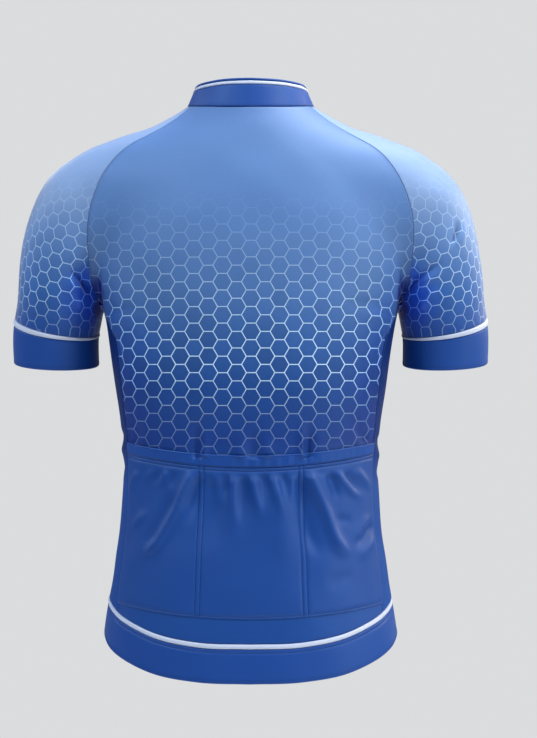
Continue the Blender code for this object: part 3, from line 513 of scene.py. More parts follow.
# ---- Seam lines on the form
def plan_point(plan, angle):
    """A point of a rounded plan outline at an angle from the centre back."""
    wide, behind, before, square = plan
    deep = np.where(np.cos(angle) > 0, behind, before)
    side, back = np.abs(np.sin(angle)), np.abs(np.cos(angle))
    reach = ((side / wide)**square + (back / deep)**square) ** (-1 / square)
    return reach * np.sin(angle), -reach * np.cos(angle)


def on_back(x, z):
    return leave(np.stack([x, np.zeros_like(x), z], -1), (0, -1, 0))


def on_front(x, z):
    return leave(np.stack([x, np.zeros_like(x), z], -1), (0, 1, 0))


def on_side(y, z, side):
    start = np.stack([np.full_like(y, side * (UNDERARM_X / 2)), y, z], -1)
    return leave(start, (side, 0, 0))


def on_torso(angle, z):
    """The torso's surface at an angle from the centre back and a height, clear of the arms."""
    angle = angle + np.zeros_like(z)
    heading = np.stack([np.sin(angle), -np.cos(angle), np.zeros_like(angle)], -1)
    axis = np.stack([np.zeros_like(z), np.zeros_like(z), z], -1)
    start = torso_radius(np.abs(angle), z) - INSIDE
    return leave(axis + heading * start[..., None], heading)


def neck_seam(angles):
    """The seam between the body and the collar."""
    x, y = plan_point(NECK, np.radians(angles))
    return leave(np.stack([x, y, np.full_like(x, NECK_WALK_FROM)], -1), (0, 0, 1))


def underarm_seam(y):
    """The seam between the sleeve and the side panel, under the arm."""
    y = np.asarray(y, float)
    above = np.stack([np.full_like(y, UNDERARM_X), y, np.full_like(y, UNDERARM_ABOVE)], -1)
    return leave(above, (0, 0, -1))


def raglan_seam(neck_angle, table, underarm_y, project):
    """A raglan seam from the neck to the underarm."""
    first = neck_seam(np.array([neck_angle]))
    last = underarm_seam([underarm_y])
    x, z = np.array(table, float).T
    line = np.vstack([first, project(x, z), last])
    even = along(line, RAGLAN_ROWS + 1)
    even[1:-1] = project(even[1:-1, 0], even[1:-1, 2])
    even[0], even[-1] = first[0], last[0]
    return even


def side_seam(heights, underarm_y, project):
    """A side seam at the given heights; the first is the underarm."""
    x = read_table(SIDE_SEAM, heights)[:, 1]
    line = project(x, np.asarray(heights, float))
    line[0] = underarm_seam([underarm_y])[0]
    return line


def neck_columns():
    """Angles round the right half of the neck at the back, over the shoulder and at the front."""
    back = np.linspace(0, NECK_BACK_SEAM, BACK_COLUMNS // 2 + 1)
    over = np.linspace(NECK_BACK_SEAM, NECK_FRONT_SEAM, NECK_EDGE_COLUMNS + 1)
    zip_angle = 180 - math.degrees(math.asin(ZIP_HALF / NECK[2]))
    front = np.linspace(NECK_FRONT_SEAM, zip_angle, FRONT_COLUMNS + 1)
    return back, over, front


def hem_heights(points):
    """Heights of the hem piping's middle and of the hem's bottom edge, below points of the body."""
    angle = np.degrees(np.arctan2(np.abs(points[..., 0]), -points[..., 1]))
    return read_table(HEM, angle)[..., 1:]


def hem_top_of_side(z, project):
    """Height at which a side seam meets the hem piping."""
    for _ in range(SIDE_HEM_ROUNDS):
        x = read_table(SIDE_SEAM, z)[1]
        point = project(np.array([x]), np.array([z]))[0]
        z = hem_heights(point)[0] + HEM_PIPING_TALL / 2
    return z


def body_rows(end, column):
    """Heights of the back's rows below the underarm: column 0 at the centre back, 1 at the side seam."""
    start = (CENTRE_BACK_UNDERARM, UNDERARM_Z)[column]
    marks = (start, POCKET_BAND_TOP[column], POCKET_BAND_BOTTOM[column], POCKET_BOTTOM[column], end)
    counts = (WAIST_ROWS, BAND_ROWS, POCKET_ROWS, TAIL_ROWS)
    parts = [np.linspace(marks[k], marks[k + 1], counts[k] + 1)[1:] for k in range(len(counts))]
    return np.concatenate([[start], *parts])


def seams():
    """Every shared seam line of the right half, as rows of points."""
    back_heights = body_rows(hem_top_of_side(BACK_HEM_GUESS, on_back), 1)
    front_end = hem_top_of_side(FRONT_HEM_GUESS, on_front)
    shorter = (front_end - UNDERARM_Z) / (back_heights[-1] - UNDERARM_Z)
    front_heights = part_way(UNDERARM_Z, back_heights, shorter)
    return {
        "raglan_back": raglan_seam(NECK_BACK_SEAM, RAGLAN_BACK, UNDERARM_BACK, on_back),
        "raglan_front": raglan_seam(NECK_FRONT_SEAM, RAGLAN_FRONT, UNDERARM_FRONT, on_front),
        "underarm": underarm_seam(np.linspace(UNDERARM_BACK, UNDERARM_FRONT, SIDE_COLUMNS + 1)),
        "side_back": side_seam(back_heights, UNDERARM_BACK, on_back),
        "side_front": side_seam(front_heights, UNDERARM_FRONT, on_front),
    }


# ---- How the folds move the cloth
def fold_line(side, places):
    """A fold's middle line, laid on the form."""
    first, second = along(np.array(places, float), FOLD_POINTS).T
    if side == "back":
        return on_back(first, second)
    if side == "front":
        return on_front(first, second)
    return on_side(first, second, 1 if side == "right" else -1)


def one_fold(points, line, height, width, fade_in, fade_out):
    """How far one fold moves points that lie near it."""
    start, step = line[:-1], np.diff(line, axis=0)
    part = ((points[:, None] - start) * step).sum(-1) / (step * step).sum(-1)
    part = np.clip(part, 0, 1)
    apart = np.linalg.norm(points[:, None] - start - step * part[..., None], axis=-1)
    nearest = apart.argmin(1)
    every = np.arange(len(points))
    reach = (nearest + part[every, nearest]) / len(start)
    fade = ease(reach / fade_in) * ease((1 - reach) / fade_out)
    return height * np.exp(-(apart[every, nearest] / width)**2) * fade


def fold_shift(points):
    """How far outward the folds and the cloth's slow unevenness move each point."""
    flat = points.reshape(-1, 3)
    shift = np.zeros(len(flat))
    for height, *lengths in SLOW_WAVES:
        turns = flat * (2 * np.pi) / np.array(lengths)
        across = turns[:, 0] + SLOW_TWIST * np.sin(turns[:, 1])
        shift += height * np.sin(across) * np.sin(turns[:, 2] + turns[:, 1])
    for line, height, width, fade_in, fade_out in FOLD_LINES:
        margin = FOLD_REACH * width
        near = np.all((flat > line.min(0) - margin) & (flat < line.max(0) + margin), axis=1)
        if near.any():
            shift[near] += one_fold(flat[near], line, height, width, fade_in, fade_out)
    return shift.reshape(points.shape[:-1])


FOLD_LINES = [(fold_line(side, places), *shape)
              for side, folds in FOLDS.items() for *shape, places in folds]


# ---- Cuts: grids of points with the cloth's own coordinates
PRINT_SPREAD = 0.3  # how much of the cloth's true width the print keeps where the body turns away
MIRROR = np.array([-1.0, 1.0, 1.0])


def reach_down(grid):
    """Lengths down each column of a grid, from its first row."""
    steps = np.linalg.norm(np.diff(grid, axis=0), axis=-1)
    return np.concatenate([np.zeros((1, grid.shape[1])), np.cumsum(steps, axis=0)])


def across_lengths(grid, start):
    """Lengths along each row, measured from a column."""
    reach = reach_down(grid.swapaxes(0, 1)).T
    return reach - reach[:, start:start + 1]


def print_places(grid, centre):
    """The print's own coordinates on the back or a front: across from the centre, and height."""
    across = grid[..., 0] * (1 - PRINT_SPREAD) + across_lengths(grid, centre) * PRINT_SPREAD
    return np.stack([across, grid[..., 2]], -1)


def plain_places(grid, start=0):
    """Cloth coordinates for a plain piece: along each row, and down each column."""
    return np.stack([across_lengths(grid, start), -reach_down(grid)], -1)


def meet_neck(x, z, neck):
    """Bend the highest rows so that the first one follows the neck seam."""
    away = ease(np.linspace(0, 1, NECK_SETTLE_ROWS))[:, None]
    high = z[:NECK_SETTLE_ROWS]
    neck_z = neck[:, 2] + (high - z[0])
    z[:NECK_SETTLE_ROWS] = part_way(neck_z, high, away)
    x[:NECK_SETTLE_ROWS] += (neck[:, 0] - x[0]) * (1 - away)


def meet_hem(across, z, project):
    """Bend the lowest rows so that the last one follows the hem piping."""
    last = z[-1]
    for _ in range(HEM_ROUNDS):
        last = hem_heights(project(across[-1], last))[:, 0] + HEM_PIPING_TALL / 2
    z[-TAIL_ROWS - 1:] += (last - z[-1]) * np.linspace(0, 1, TAIL_ROWS + 1)[:, None]


def body_cut(edge, neck, centres, start_x, columns, project):
    """Rows from a middle line, at start_x and the centres' heights, to an edge; columns run up to 1."""
    sweep = np.radians(COLUMN_SWEEP)
    share = np.sin(columns * sweep) / np.sin(sweep)
    x = part_way(start_x, edge[:, :1], share)
    z = part_way(centres[:, None], edge[:, 2:], share**2)
    meet_neck(x, z, neck)
    meet_hem(x, z, project)
    grid = project(x, z)
    grid[0] = neck
    grid[:, -1] = edge
    return grid


def back_cut(lines):
    """The back from the neck to the hem piping, its columns from the left side to the right."""
    edge = np.vstack([lines["raglan_back"], lines["side_back"][1:]])
    neck_angles, _, _ = neck_columns()
    neck = neck_seam(np.concatenate([-neck_angles[:0:-1], neck_angles]))
    centre_neck = neck[BACK_COLUMNS // 2, 2]
    low = body_rows(HEM[0][1] + HEM_PIPING_TALL / 2, 0)
    raglan = np.linspace(0, 1, RAGLAN_ROWS + 1)[:-1]
    centres = np.concatenate([part_way(centre_neck, low[0], raglan**CENTRE_CROWDING), low])
    grid = body_cut(edge, neck, centres, 0.0, np.linspace(-1, 1, BACK_COLUMNS + 1), on_back)
    grid[:, 0] = edge * MIRROR
    return grid


def front_cut(lines):
    """The right front from the neck to the hem piping, its columns from the zip to the side."""
    edge = np.vstack([lines["raglan_front"], lines["side_front"][1:]])
    _, _, neck_angles = neck_columns()
    neck = neck_seam(neck_angles[::-1])
    last_centre = HEM[-1][1] + HEM_PIPING_TALL / 2
    drop = (edge[:, 2] - edge[0, 2]) / (edge[-1, 2] - edge[0, 2])
    centres = part_way(neck[0, 2], last_centre, drop)
    return body_cut(edge, neck, centres, ZIP_HALF, np.linspace(0, 1, FRONT_COLUMNS + 1), on_front)


def side_cut(lines, back, front):
    """The right side panel from the underarm to the hem piping, its columns from back to front."""
    behind, before = lines["side_back"].copy(), lines["side_front"].copy()
    behind[-1], before[-1] = back[-1, -1], front[-1, -1]
    share = np.linspace(0, 1, SIDE_COLUMNS + 1)[None, :]
    turn_behind, turn_before = (np.arctan2(line[:, :1], -line[:, 1:2]) for line in (behind, before))
    angle = part_way(turn_behind, turn_before, share)
    z = part_way(behind[:, 2:], before[:, 2:], share)
    meet_hem(angle, z, on_torso)
    top = lines["underarm"][:, 2] - z[0]
    z[:TAIL_ROWS + 1] += top * np.linspace(1, 0, TAIL_ROWS + 1)[:, None]
    grid = on_torso(angle, z)
    grid[0] = lines["underarm"]
    grid[:, 0], grid[:, -1] = behind, before
    return grid


def arm_point(length, turn):
    """Where a line from the arm's axis, turned about it from outward to backward, leaves the form."""
    axis, _, out, back = axis_at(length)
    heading = out * np.cos(turn)[..., None] + back * np.sin(turn)[..., None]
    return leave(axis[..., :3], heading)


def armhole(lines):
    """The sleeve's upper edge, once round: back raglan up, neck, front raglan down, underarm back."""
    _, over, _ = neck_columns()
    half = SIDE_COLUMNS // 2
    return np.vstack([lines["underarm"][half:0:-1], lines["raglan_back"][:0:-1], neck_seam(over),
                      lines["raglan_front"][1:], lines["underarm"][-2:half:-1]])


def cuff_length(turn):
    """Length along the arm's axis at which the cuff piping starts."""
    base = np.interp(-CUFF_TOP_Z, -AXIS[:, 2], AXIS_LENGTH)
    return base - CUFF_OUTER_RISE * np.cos(turn)


def sleeve_turns(edge):
    """Each sleeve column's turn about the arm at the armhole and, evenly spaced, at the cuff."""
    length, out, back, _, _ = arm_place(edge)
    turn = np.arctan2(back, out)
    turn = turn[0] + np.concatenate([[0], np.cumsum((np.diff(turn) + np.pi) % (2 * np.pi) - np.pi)])
    even = turn[0] - np.arange(len(edge)) * 2 * np.pi / len(edge)
    even += (turn - even).mean()
    return length, turn, even


def close_ring(grid):
    """Repeat the first column of a ring at its end."""
    return np.concatenate([grid, grid[:, :1]], axis=1)


def sleeve_cut(edge):
    """A sleeve from the armhole to the cuff piping, its columns once round the arm."""
    length, turn, even = sleeve_turns(edge)
    share = np.linspace(0, 1, SLEEVE_ROWS + 1)[:, None]
    grid = arm_point(part_way(length, cuff_length(even), share), part_way(turn, even, ease(share)))
    grid[0] = edge
    return grid


# The line that the sleeve's print follows: height, x, y, half width of the sleeve, slope of its rows.
SLEEVE_PRINT = (
    (-265, 234.5, 18.0, 51.5, 0.13),
    (-231, 233.0, 11.0, 52.5, 0.18),
    (-181, 229.0, 2.5, 56.5, 0.27),
    (-155, 224.5, -1.5, 58.0, 0.35),
    (-128, 216.0, -4.5, 59.0, 0.45),
    (-100, 202.0, -6.0, 60.0, 0.58),
    (-60, 175.0, -7.0, 60.0, 0.70),
)
SLEEVE_PRINT_NARROWED = 1.14          # the sleeve's print is a little narrower than it is tall
SLEEVE_PRINT_SAG = 0.12               # how much lower its rows are at the back, by depth
PLAIN_FROM, PLAIN_TO = -112.0, -62.0  # heights between which plain cloth coordinates take over


def sleeve_places(grid, even):
    """The print's coordinates on a sleeve: round the arm and up from the cuff."""
    reach = reach_down(grid[::-1])[::-1]
    guess = np.append(even, even[0] - 2 * np.pi)
    plain = np.stack([(np.pi / 2 - guess) * SLEEVE_PRINT[1][3] + np.zeros_like(reach), reach], -1)
    row = read_table(SLEEVE_PRINT, grid[..., 2])
    out, back = grid[..., 0] - row[..., 1], row[..., 2] - grid[..., 1]
    turn = np.arctan2(back, out)
    turn = guess + (turn - guess + np.pi) % (2 * np.pi) - np.pi
    line = np.array(SLEEVE_PRINT)
    climbed = lengths_along(line[:, [1, 2, 0]])
    rise = read_table(np.column_stack([line[:, 0], climbed]), grid[..., 2])[..., 1]
    rise = rise - out * row[..., 4] + back * SLEEVE_PRINT_SAG
    printed = np.stack([(np.pi / 2 - turn) * row[..., 3] * SLEEVE_PRINT_NARROWED, rise], -1)
    share = ease((grid[..., 2:] - PLAIN_FROM) / (PLAIN_TO - PLAIN_FROM))
    return part_way(printed, plain, share)


def cuff_ring(even, start, end, rows):
    """A ring round the sleeve's end between two lengths below the sleeve's edge."""
    offsets = np.linspace(start, end, rows + 1)[:, None]
    return arm_point(cuff_length(even) + offsets, even + np.zeros_like(offsets))


def collar_cuts():
    """The collar's band, piping and binding, from the zip round the back to the zip again."""
    back, over, front = neck_columns()
    half = np.concatenate([back, over[1:], front[1:]])
    angles = np.concatenate([-half[:0:-1], half])
    base = neck_seam(angles)
    x, y = plan_point(COLLAR_RIM, np.radians(angles))
    rim = np.stack([x, y, read_table(COLLAR_RIM_HEIGHT, np.abs(angles))[:, 1]], -1)
    for end in (0, -1):
        rim[end, 0] = math.copysign(ZIP_HALF, rim[end, 0])
        base[end, 0] = math.copysign(ZIP_HALF, base[end, 0])
    rise = rim - base
    tall = np.linalg.norm(rise, axis=1)[:, None]
    up = rise / tall

    def ring(low, high, rows):
        share = np.linspace(0, 1, rows + 1)[:, None, None]
        return base + up * part_way(high, low, share)

    piping_base = tall - COLLAR_BINDING_TALL - COLLAR_PIPING_TALL
    binding_base = tall - COLLAR_BINDING_TALL
    return {
        "collar": ring(0, piping_base + SEAM_GAP / 2, COLLAR_ROWS),
        "collar_piping": ring(piping_base + SEAM_GAP / 2, binding_base + SEAM_GAP / 2, TRIM_ROWS),
        "collar_binding": ring(binding_base + SEAM_GAP / 2, tall, TRIM_ROWS // 2),
    }


def hem_band_rows():
    """Where each row of the hem band lies, as a share of its height, and how deep stitches draw it in."""
    tall = HEM[0][1] - HEM_PIPING_TALL / 2 - HEM[0][2]
    drawn = [((HEM_TOP_STITCH_INSET + offset) / tall, depth * HEM_GROOVE) for offset, depth in GROOVE]
    plain = [(share, 0.0) for share in between(drawn[-1][0], 1.0, HEM_ROWS)]
    return np.array([(0.0, 0.0), *drawn, *plain, (1.0, 0.0)]).T


def hem_cuts(back, side, front):
    """The hem's piping and band, below the body's bottom edge from the zip round the back."""
    right = np.vstack([back[-1, BACK_COLUMNS // 2:], side[-1, 1:], front[-1, -2::-1]])
    edge = np.vstack([right[:0:-1] * (-1, 1, 1), right])
    heights = hem_heights(edge)
    angle = np.arctan2(edge[:, 0], -edge[:, 1])

    def ring(tops, bottoms, share):
        grid = on_torso(angle, part_way(tops, bottoms, share[:, None]))
        for end in (0, -1):
            grid[:, end, 0] = math.copysign(ZIP_HALF, edge[end, 0])
        return grid

    top = heights[:, 0] + HEM_PIPING_TALL / 2
    middle = top - HEM_PIPING_TALL
    piping = ring(top, middle, np.linspace(0, 1, TRIM_ROWS + 1))
    return piping, ring(middle, heights[:, 1], hem_band_rows()[0])


# ---- Pocket cuts
def pocket_rows(lines, top, bottom, down):
    """Rows between two pocket lines: heights at the centre and at the side, and where the side seam is."""
    centre, side = (part_way(*ends, down) for ends in zip(top, bottom))
    edge_x = np.interp(-side, -lines["side_back"][:, 2], lines["side_back"][:, 0])
    return centre, side, edge_x


def pocket_columns(edge_x, down):
    """Each pocket column's x in each row, its depth of groove, and its place across its own pocket."""
    left, right = (part_way(*ends, down) for ends in (POCKET_SEAM_LEFT, POCKET_SEAM_RIGHT))
    rows = [line[:, None] for line in (left - TWIN_HALF, left + TWIN_HALF, right - TWIN_HALF,
                                       right + TWIN_HALF, edge_x)]
    counts = (SIDE_POCKET_COLUMNS, 1, MIDDLE_POCKET_COLUMNS, 1, SIDE_POCKET_COLUMNS)
    start = -edge_x[:, None]
    x, groove, place = [start], [0.0], [0.0]
    for k, (line, count) in enumerate(zip(rows, counts)):
        last = k == len(rows) - 1
        x.append(between(start, line if last else line + GROOVE[0][0], count))
        groove += [0.0] * count
        place += list(between(0.0, 1.0, count)) if count > 1 else [0.0]
        for offset, depth in ((0.0, 0.0),) if last else GROOVE:
            x.append(line + offset)
            groove.append(depth)
            place.append(0.0)
        start = line + GROOVE[-1][0]
    return np.concatenate(x, axis=1), np.array(groove), np.array(place)


def pocket_cut(lines):
    """The pocket panel over the lower back, with its stitched grooves and each pocket's own fullness."""
    tall = POCKET_BAND_BOTTOM[0] - POCKET_BOTTOM[0]
    top = [TOP_STITCH_DROP + offset for offset, _ in GROOVE]
    bottom = [tall - BOTTOM_STITCH_RISE + offset for offset, _ in GROOVE[1:4]]
    spread = between(top[-1], bottom[0] - 1, POCKET_ROWS)
    down = np.concatenate([[0.0], top, spread, bottom, [tall]]) / tall
    depths = [depth for _, depth in GROOVE]
    row_groove = np.concatenate([[0.0], depths, np.zeros(len(spread)), depths[1:4], [0.0]])
    centre, side, edge_x = pocket_rows(lines, POCKET_BAND_BOTTOM, POCKET_BOTTOM, down)
    x, column_groove, place = pocket_columns(edge_x, down)
    z = part_way(centre[:, None], side[:, None], (x / edge_x[:, None])**2)
    groove = np.maximum(row_groove[:, None], column_groove[None, :])
    full_across, full_down = (np.sin(np.pi * share)**power
                              for share, power in zip((place, down), PUFF_POWERS))
    return on_back(x, z), groove, POCKET_PUFF * full_across[None, :] * full_down[:, None]


def band_cut(lines):
    """The elastic band along the pockets' top edge, gathered and standing a little off the back."""
    down = np.linspace(0, 1, BAND_ROWS + 3)
    centre, side, edge_x = pocket_rows(lines, POCKET_BAND_TOP, POCKET_BAND_BOTTOM, down)
    share = np.linspace(-1, 1, BAND_COLUMNS + 1)
    x = edge_x[:, None] * share
    z = part_way(centre[:, None], side[:, None], share**2)
    stops = (-edge_x[0], POCKET_SEAM_LEFT[0], POCKET_SEAM_RIGHT[0], edge_x[0])
    which = np.clip(np.searchsorted(stops, x[0]) - 1, 0, 2)
    first, last = np.take(stops, which), np.take(stops, which + 1)
    place = np.clip((x[0] - first) / (last - first), 0, 1)
    mouth = MOUTH_PUFF * np.sin(np.pi * place)**MOUTH_POWER * (1 - MOUTH_CLOSED * down[:, None])
    gathers = sum(height * np.exp(-((x - at) / width)**2) for at, height, width in BAND_GATHERS)
    return on_back(x, z), mouth + gathers * np.sin(np.pi * part_way(*GATHER_SPAN, down))[:, None]


# ---- Shells
def add_edge_lines(grid, edges):
    """Add lines beside the named edges of a grid. Returns the new grid and how far each line rounds in.

    A grid's last axis starts with x, y, z and may hold more that belongs to each point.
    """
    def beside(line, inner):
        gap = np.linalg.norm(inner[..., :3] - line[..., :3], axis=-1, keepdims=True)
        toward = (inner - line) / np.maximum(gap, 1e-9)
        made = []
        for k, (distance, _) in enumerate(EDGE_LINES):
            reach = np.minimum(distance + (SEAM_GAP / 2 if k == 0 else 0), gap * EDGE_CROWDING * (k + 1))
            made.append(line + toward * reach)
        return np.stack(made)

    drops = [drop for _, drop in EDGE_LINES]
    rounds = [np.zeros(count) for count in grid.shape[:2]]
    for axis, start, end in ((1, "first", "last"), (0, "top", "bottom")):
        lines = grid.swapaxes(0, axis)
        if start in edges:
            lines = np.concatenate([beside(lines[0], lines[1]), lines[1:]])
            rounds[axis] = np.concatenate([drops, rounds[axis][1:]])
        if end in edges:
            lines = np.concatenate([lines[:-1], beside(lines[-1], lines[-2])[::-1]])
            rounds[axis] = np.concatenate([rounds[axis][:-1], drops[::-1]])
        grid = lines.swapaxes(0, axis)
    return grid, np.maximum(rounds[0][:, None], rounds[1][None, :])


def shell(name, outer, inner, places, finishes, closed=False):
    """A closed thin shell between two grids of points, with a map of the cloth's own coordinates."""
    rows, lines = outer.shape[:2]
    columns = lines - 1 if closed else lines
    vertices = np.vstack([layer[:, :columns].reshape(-1, 3) for layer in (outer, inner)]) * MM
    below = rows * columns

    def corners(*stations):
        """The vertices and the map's places at each face's corners, given as rows and columns."""
        return (np.stack([row * columns + column % columns for row, column in stations], 1),
                np.stack([row * lines + column for row, column in stations], 1))

    r, c = np.meshgrid(np.arange(rows - 1), np.arange(lines - 1), indexing="ij")
    r, c = r.ravel(), c.ravel()
    outside, outside_map = corners((r, c), (r + 1, c), (r + 1, c + 1), (r, c + 1))
    faces, maps = [outside, outside[:, ::-1] + below], [outside_map, outside_map[:, ::-1]]
    r, c = np.arange(rows - 1), np.arange(lines - 1)
    rim = [((0 * c, c), (0 * c, c + 1)), ((0 * c + rows - 1, c + 1), (0 * c + rows - 1, c))]
    if not closed:
        rim += [((r + 1, 0 * r), (r, 0 * r)), ((r, 0 * r + lines - 1), (r + 1, 0 * r + lines - 1))]
    for stations in rim:
        here, at = corners(*stations)
        faces.append(np.hstack([here, here[:, ::-1] + below]))
        maps.append(np.hstack([at, at[:, ::-1]]))
    faces, maps = np.vstack(faces), np.vstack(maps)
    mesh = new_mesh(name, vertices, faces.tolist())
    spread = mesh.uv_layers.new(name="cloth")
    spread.data.foreach_set("uv", (places.reshape(-1, 2)[maps.ravel()] * MM).ravel())
    wrong_side = np.zeros(len(faces), int)
    wrong_side[len(outside):2 * len(outside)] = len(finishes) - 1
    mesh.polygons.foreach_set("material_index", wrong_side)
    return add_piece(name, mesh, finishes, CLOTH_SHARP)


def new_mesh(name, vertices, faces):
    mesh = bpy.data.meshes.new(name)
    mesh.from_pydata(vertices.tolist(), [], faces)
    return mesh


def add_object(name, data):
    """Put a mesh, lamp or camera in the scene."""
    holder = bpy.data.objects.new(name, data)
    bpy.context.scene.collection.objects.link(holder)
    return holder


def add_piece(name, mesh, finishes, sharp):
    """Put a mesh in the scene as a piece, smooth but for its sharp edges, with its finishes."""
    mesh.validate()
    mesh.shade_smooth()
    mesh.set_sharp_from_angle(angle=math.radians(sharp))
    for finish in finishes:
        mesh.materials.append(bpy.data.materials[finish])
    return add_object(name, mesh)


def settle(piece, node=None, body="jersey"):
    """Ride a piece on its body, and let it stand for a node if it has one."""
    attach(piece, body)
    if node:
        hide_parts(node)


def lay(name, points, places, finishes, thickness, node, edges, lift=0.0, stand=0.0, closed=False,
        turned=False):
    """Lay one cut of cloth on the form: fold it, round its edges off, and make its shell.

    stand is how far each point stands out beyond the lift. turned is for a grid whose columns run the
    other way about. Returns the shell's outer points and directions, for stitches.
    """
    stand = stand + np.zeros(points.shape[:2])
    grid, drop = add_edge_lines(np.concatenate([points, places, stand[..., None]], -1), edges)
    points, places, stand = grid[..., :3], grid[..., 3:5], grid[..., 5]
    out = facing(points, closed) * (-1 if turned else 1)
    shift = lift + stand + fold_shift(points)
    outer = points + out * (shift - drop)[..., None]
    inner = points + out * (shift - thickness + drop * EDGE_RISE)[..., None]
    layers = [layer[:, ::-1] if turned else layer for layer in (outer, inner, places)]
    settle(shell(name, *layers, finishes, closed), node)
    return outer, out


# ---- Stitches and cords
def even_steps(line, step, ends=False):
    """A line of points with directions, at even steps along it, with its two ends or between them."""
    reach = lengths_along(line)
    count = int(reach[-1] / step)
    at = np.linspace(0, reach[-1], count) if ends else (np.arange(count) + 0.5) * reach[-1] / count
    return np.stack([np.interp(at, reach, column) for column in line.T], 1)


def lofted(rings, capped=True):
    """Points and faces through rings of points, with flat caps or joined end to end."""
    sides, count = len(rings[0]), len(rings)
    faces = []
    for k in range(count - 1 if capped else count):
        here, there = k * sides, (k + 1) % count * sides
        faces += [(here + s, here + (s + 1) % sides, there + (s + 1) % sides, there + s)
                  for s in range(sides)]
    if capped:
        faces.append(tuple(range(sides))[::-1])
        faces.append(tuple((count - 1) * sides + s for s in range(sides)))
    return np.vstack(rings), faces


def bean():
    """A small rounded bar of unit size, along its first axis."""
    rings = ((-0.36, 0.36), (0.0, 0.5), (0.36, 0.36))
    shape = [(-0.5, 0, 0)]
    for at, radius in rings:
        shape += [(at, radius, 0), (at, 0, radius), (at, -radius, 0), (at, 0, -radius)]
    shape.append((0.5, 0, 0))
    faces = [(0, 1 + (k + 1) % 4, 1 + k) for k in range(4)]
    for base in (1, 5):
        faces += [(base + k, base + (k + 1) % 4, base + 4 + (k + 1) % 4, base + 4 + k) for k in range(4)]
    faces += [(13, 9 + k, 9 + (k + 1) % 4) for k in range(4)]
    return np.array(shape, float), faces


BEAN, BEAN_FACES = bean()


def beans(origins, ahead, out, size):
    """Rounded bars of one size, each with its own origin, heading and outward direction."""
    across = unit(np.cross(ahead, out))
    axes = np.stack([ahead, across, np.cross(across, ahead)], 1)
    placed = origins[:, None] + np.einsum("ij,njk->nik", BEAN * np.array(size), axes)
    faces = [tuple(index + k * len(BEAN) for index in face)
             for k in range(len(origins)) for face in BEAN_FACES]
    return placed.reshape(-1, 3), faces


def solid(name, parts, finish, sharp):
    """One piece from several parts' points and faces, its faces turned outwards."""
    vertices, faces = [], []
    for points, part_faces in parts:
        base = sum(len(block) for block in vertices)
        vertices.append(points)
        faces += [tuple(base + index for index in face) for face in part_faces]
    mesh = new_mesh(name, np.vstack(vertices) * MM, faces)
    shape = bmesh.new()
    shape.from_mesh(mesh)
    bmesh.ops.recalc_face_normals(shape, faces=shape.faces)
    shape.to_mesh(mesh)
    shape.free()
    return add_piece(name, mesh, [finish], sharp)


def along_thread(steps):
    """The points of a line with directions, and its unit headings and outward directions."""
    return steps[:, :3], unit(np.gradient(steps[:, :3], axis=0)), unit(steps[:, 3:])


def sew(name, lines, finish="deep_thread"):
    """Rows of stitches along lines of points with outward directions, as one piece."""
    parts = []
    for line in lines:
        points, ahead, out = along_thread(even_steps(line, STITCH_PITCH))
        parts.append(beans(points + out * (STITCH_SIZE[2] / 2 - STITCH_SUNK), ahead, out, STITCH_SIZE))
    settle(solid(name, parts, finish, THREAD_SHARP))


EDGE_FIRST = {
    "top": lambda grid: grid,
    "bottom": lambda grid: grid[::-1],
    "first": lambda grid: grid.swapaxes(0, 1),
    "last": lambda grid: grid.swapaxes(0, 1)[::-1],
}


def inset_line(laid, edge, inset):
    """The line on a laid piece at a distance from one of its edges, with outward directions."""
    grid, way = (EDGE_FIRST[edge](part) for part in laid)
    reach = reach_down(grid)
    k = np.clip((reach < inset).sum(0) - 1, 0, len(grid) - 2)
    every = np.arange(grid.shape[1])
    part = ((inset - reach[k, every]) / (reach[k + 1, every] - reach[k, every]))[:, None]
    point = grid[k, every] * (1 - part) + grid[k + 1, every] * part
    return np.concatenate([point, way[k + 1, every]], -1)


def overlock(name, lines, finish):
    """Overlocked seam allowances: flat ribs along seam lines, on the cloth's wrong side.

    lines are rows of points with outward directions, each with whether it closes on itself and how thick
    the cloth over it is.
    """
    turns = np.linspace(0, 2 * np.pi, OVERLOCK_SIDES, endpoint=False)
    parts = []
    for line, closed, thickness in lines:
        points, ahead, out = along_thread(even_steps(line, OVERLOCK_STEP, ends=True))
        across = unit(np.cross(ahead, out))
        depth = thickness + OVERLOCK_CLEAR
        middle = points + out * (fold_shift(points) - depth - OVERLOCK_HALF_HIGH)[:, None]
        grid = np.stack([middle + across * (OVERLOCK_HALF_WIDE * math.cos(t))
                         + out * (OVERLOCK_HALF_HIGH * math.sin(t)) for t in turns], 1)
        parts.append(lofted(grid[:-1], capped=False) if closed else lofted(grid))
    settle(solid(name, parts, finish, THREAD_SHARP))


# ---- The print
# The print's fade from the neck down: height in metres, colour. The sleeves have their own.
BODY_FADE = (
    (0.000, (0.056, 0.125, 0.314)),
    (-0.100, (0.068, 0.150, 0.366)),
    (-0.163, (0.068, 0.147, 0.356)),
    (-0.221, (0.051, 0.124, 0.325)),
    (-0.279, (0.021, 0.081, 0.282)),
    (-0.336, (0.0034, 0.042, 0.212)),
    (-0.395, (0.0013, 0.025, 0.182)),
    (-0.445, (0.0024, 0.042, 0.226)),
)
SLEEVE_FADE = (
    (0.000, (0.120, 0.204, 0.405)),
    (-0.114, (0.137, 0.220, 0.420)),
    (-0.149, (0.096, 0.187, 0.416)),
    (-0.184, (0.0515, 0.1285, 0.350)),
    (-0.220, (0.021, 0.087, 0.298)),
    (-0.270, (0.0040, 0.040, 0.230)),
)
FADE_FOOT = -0.45
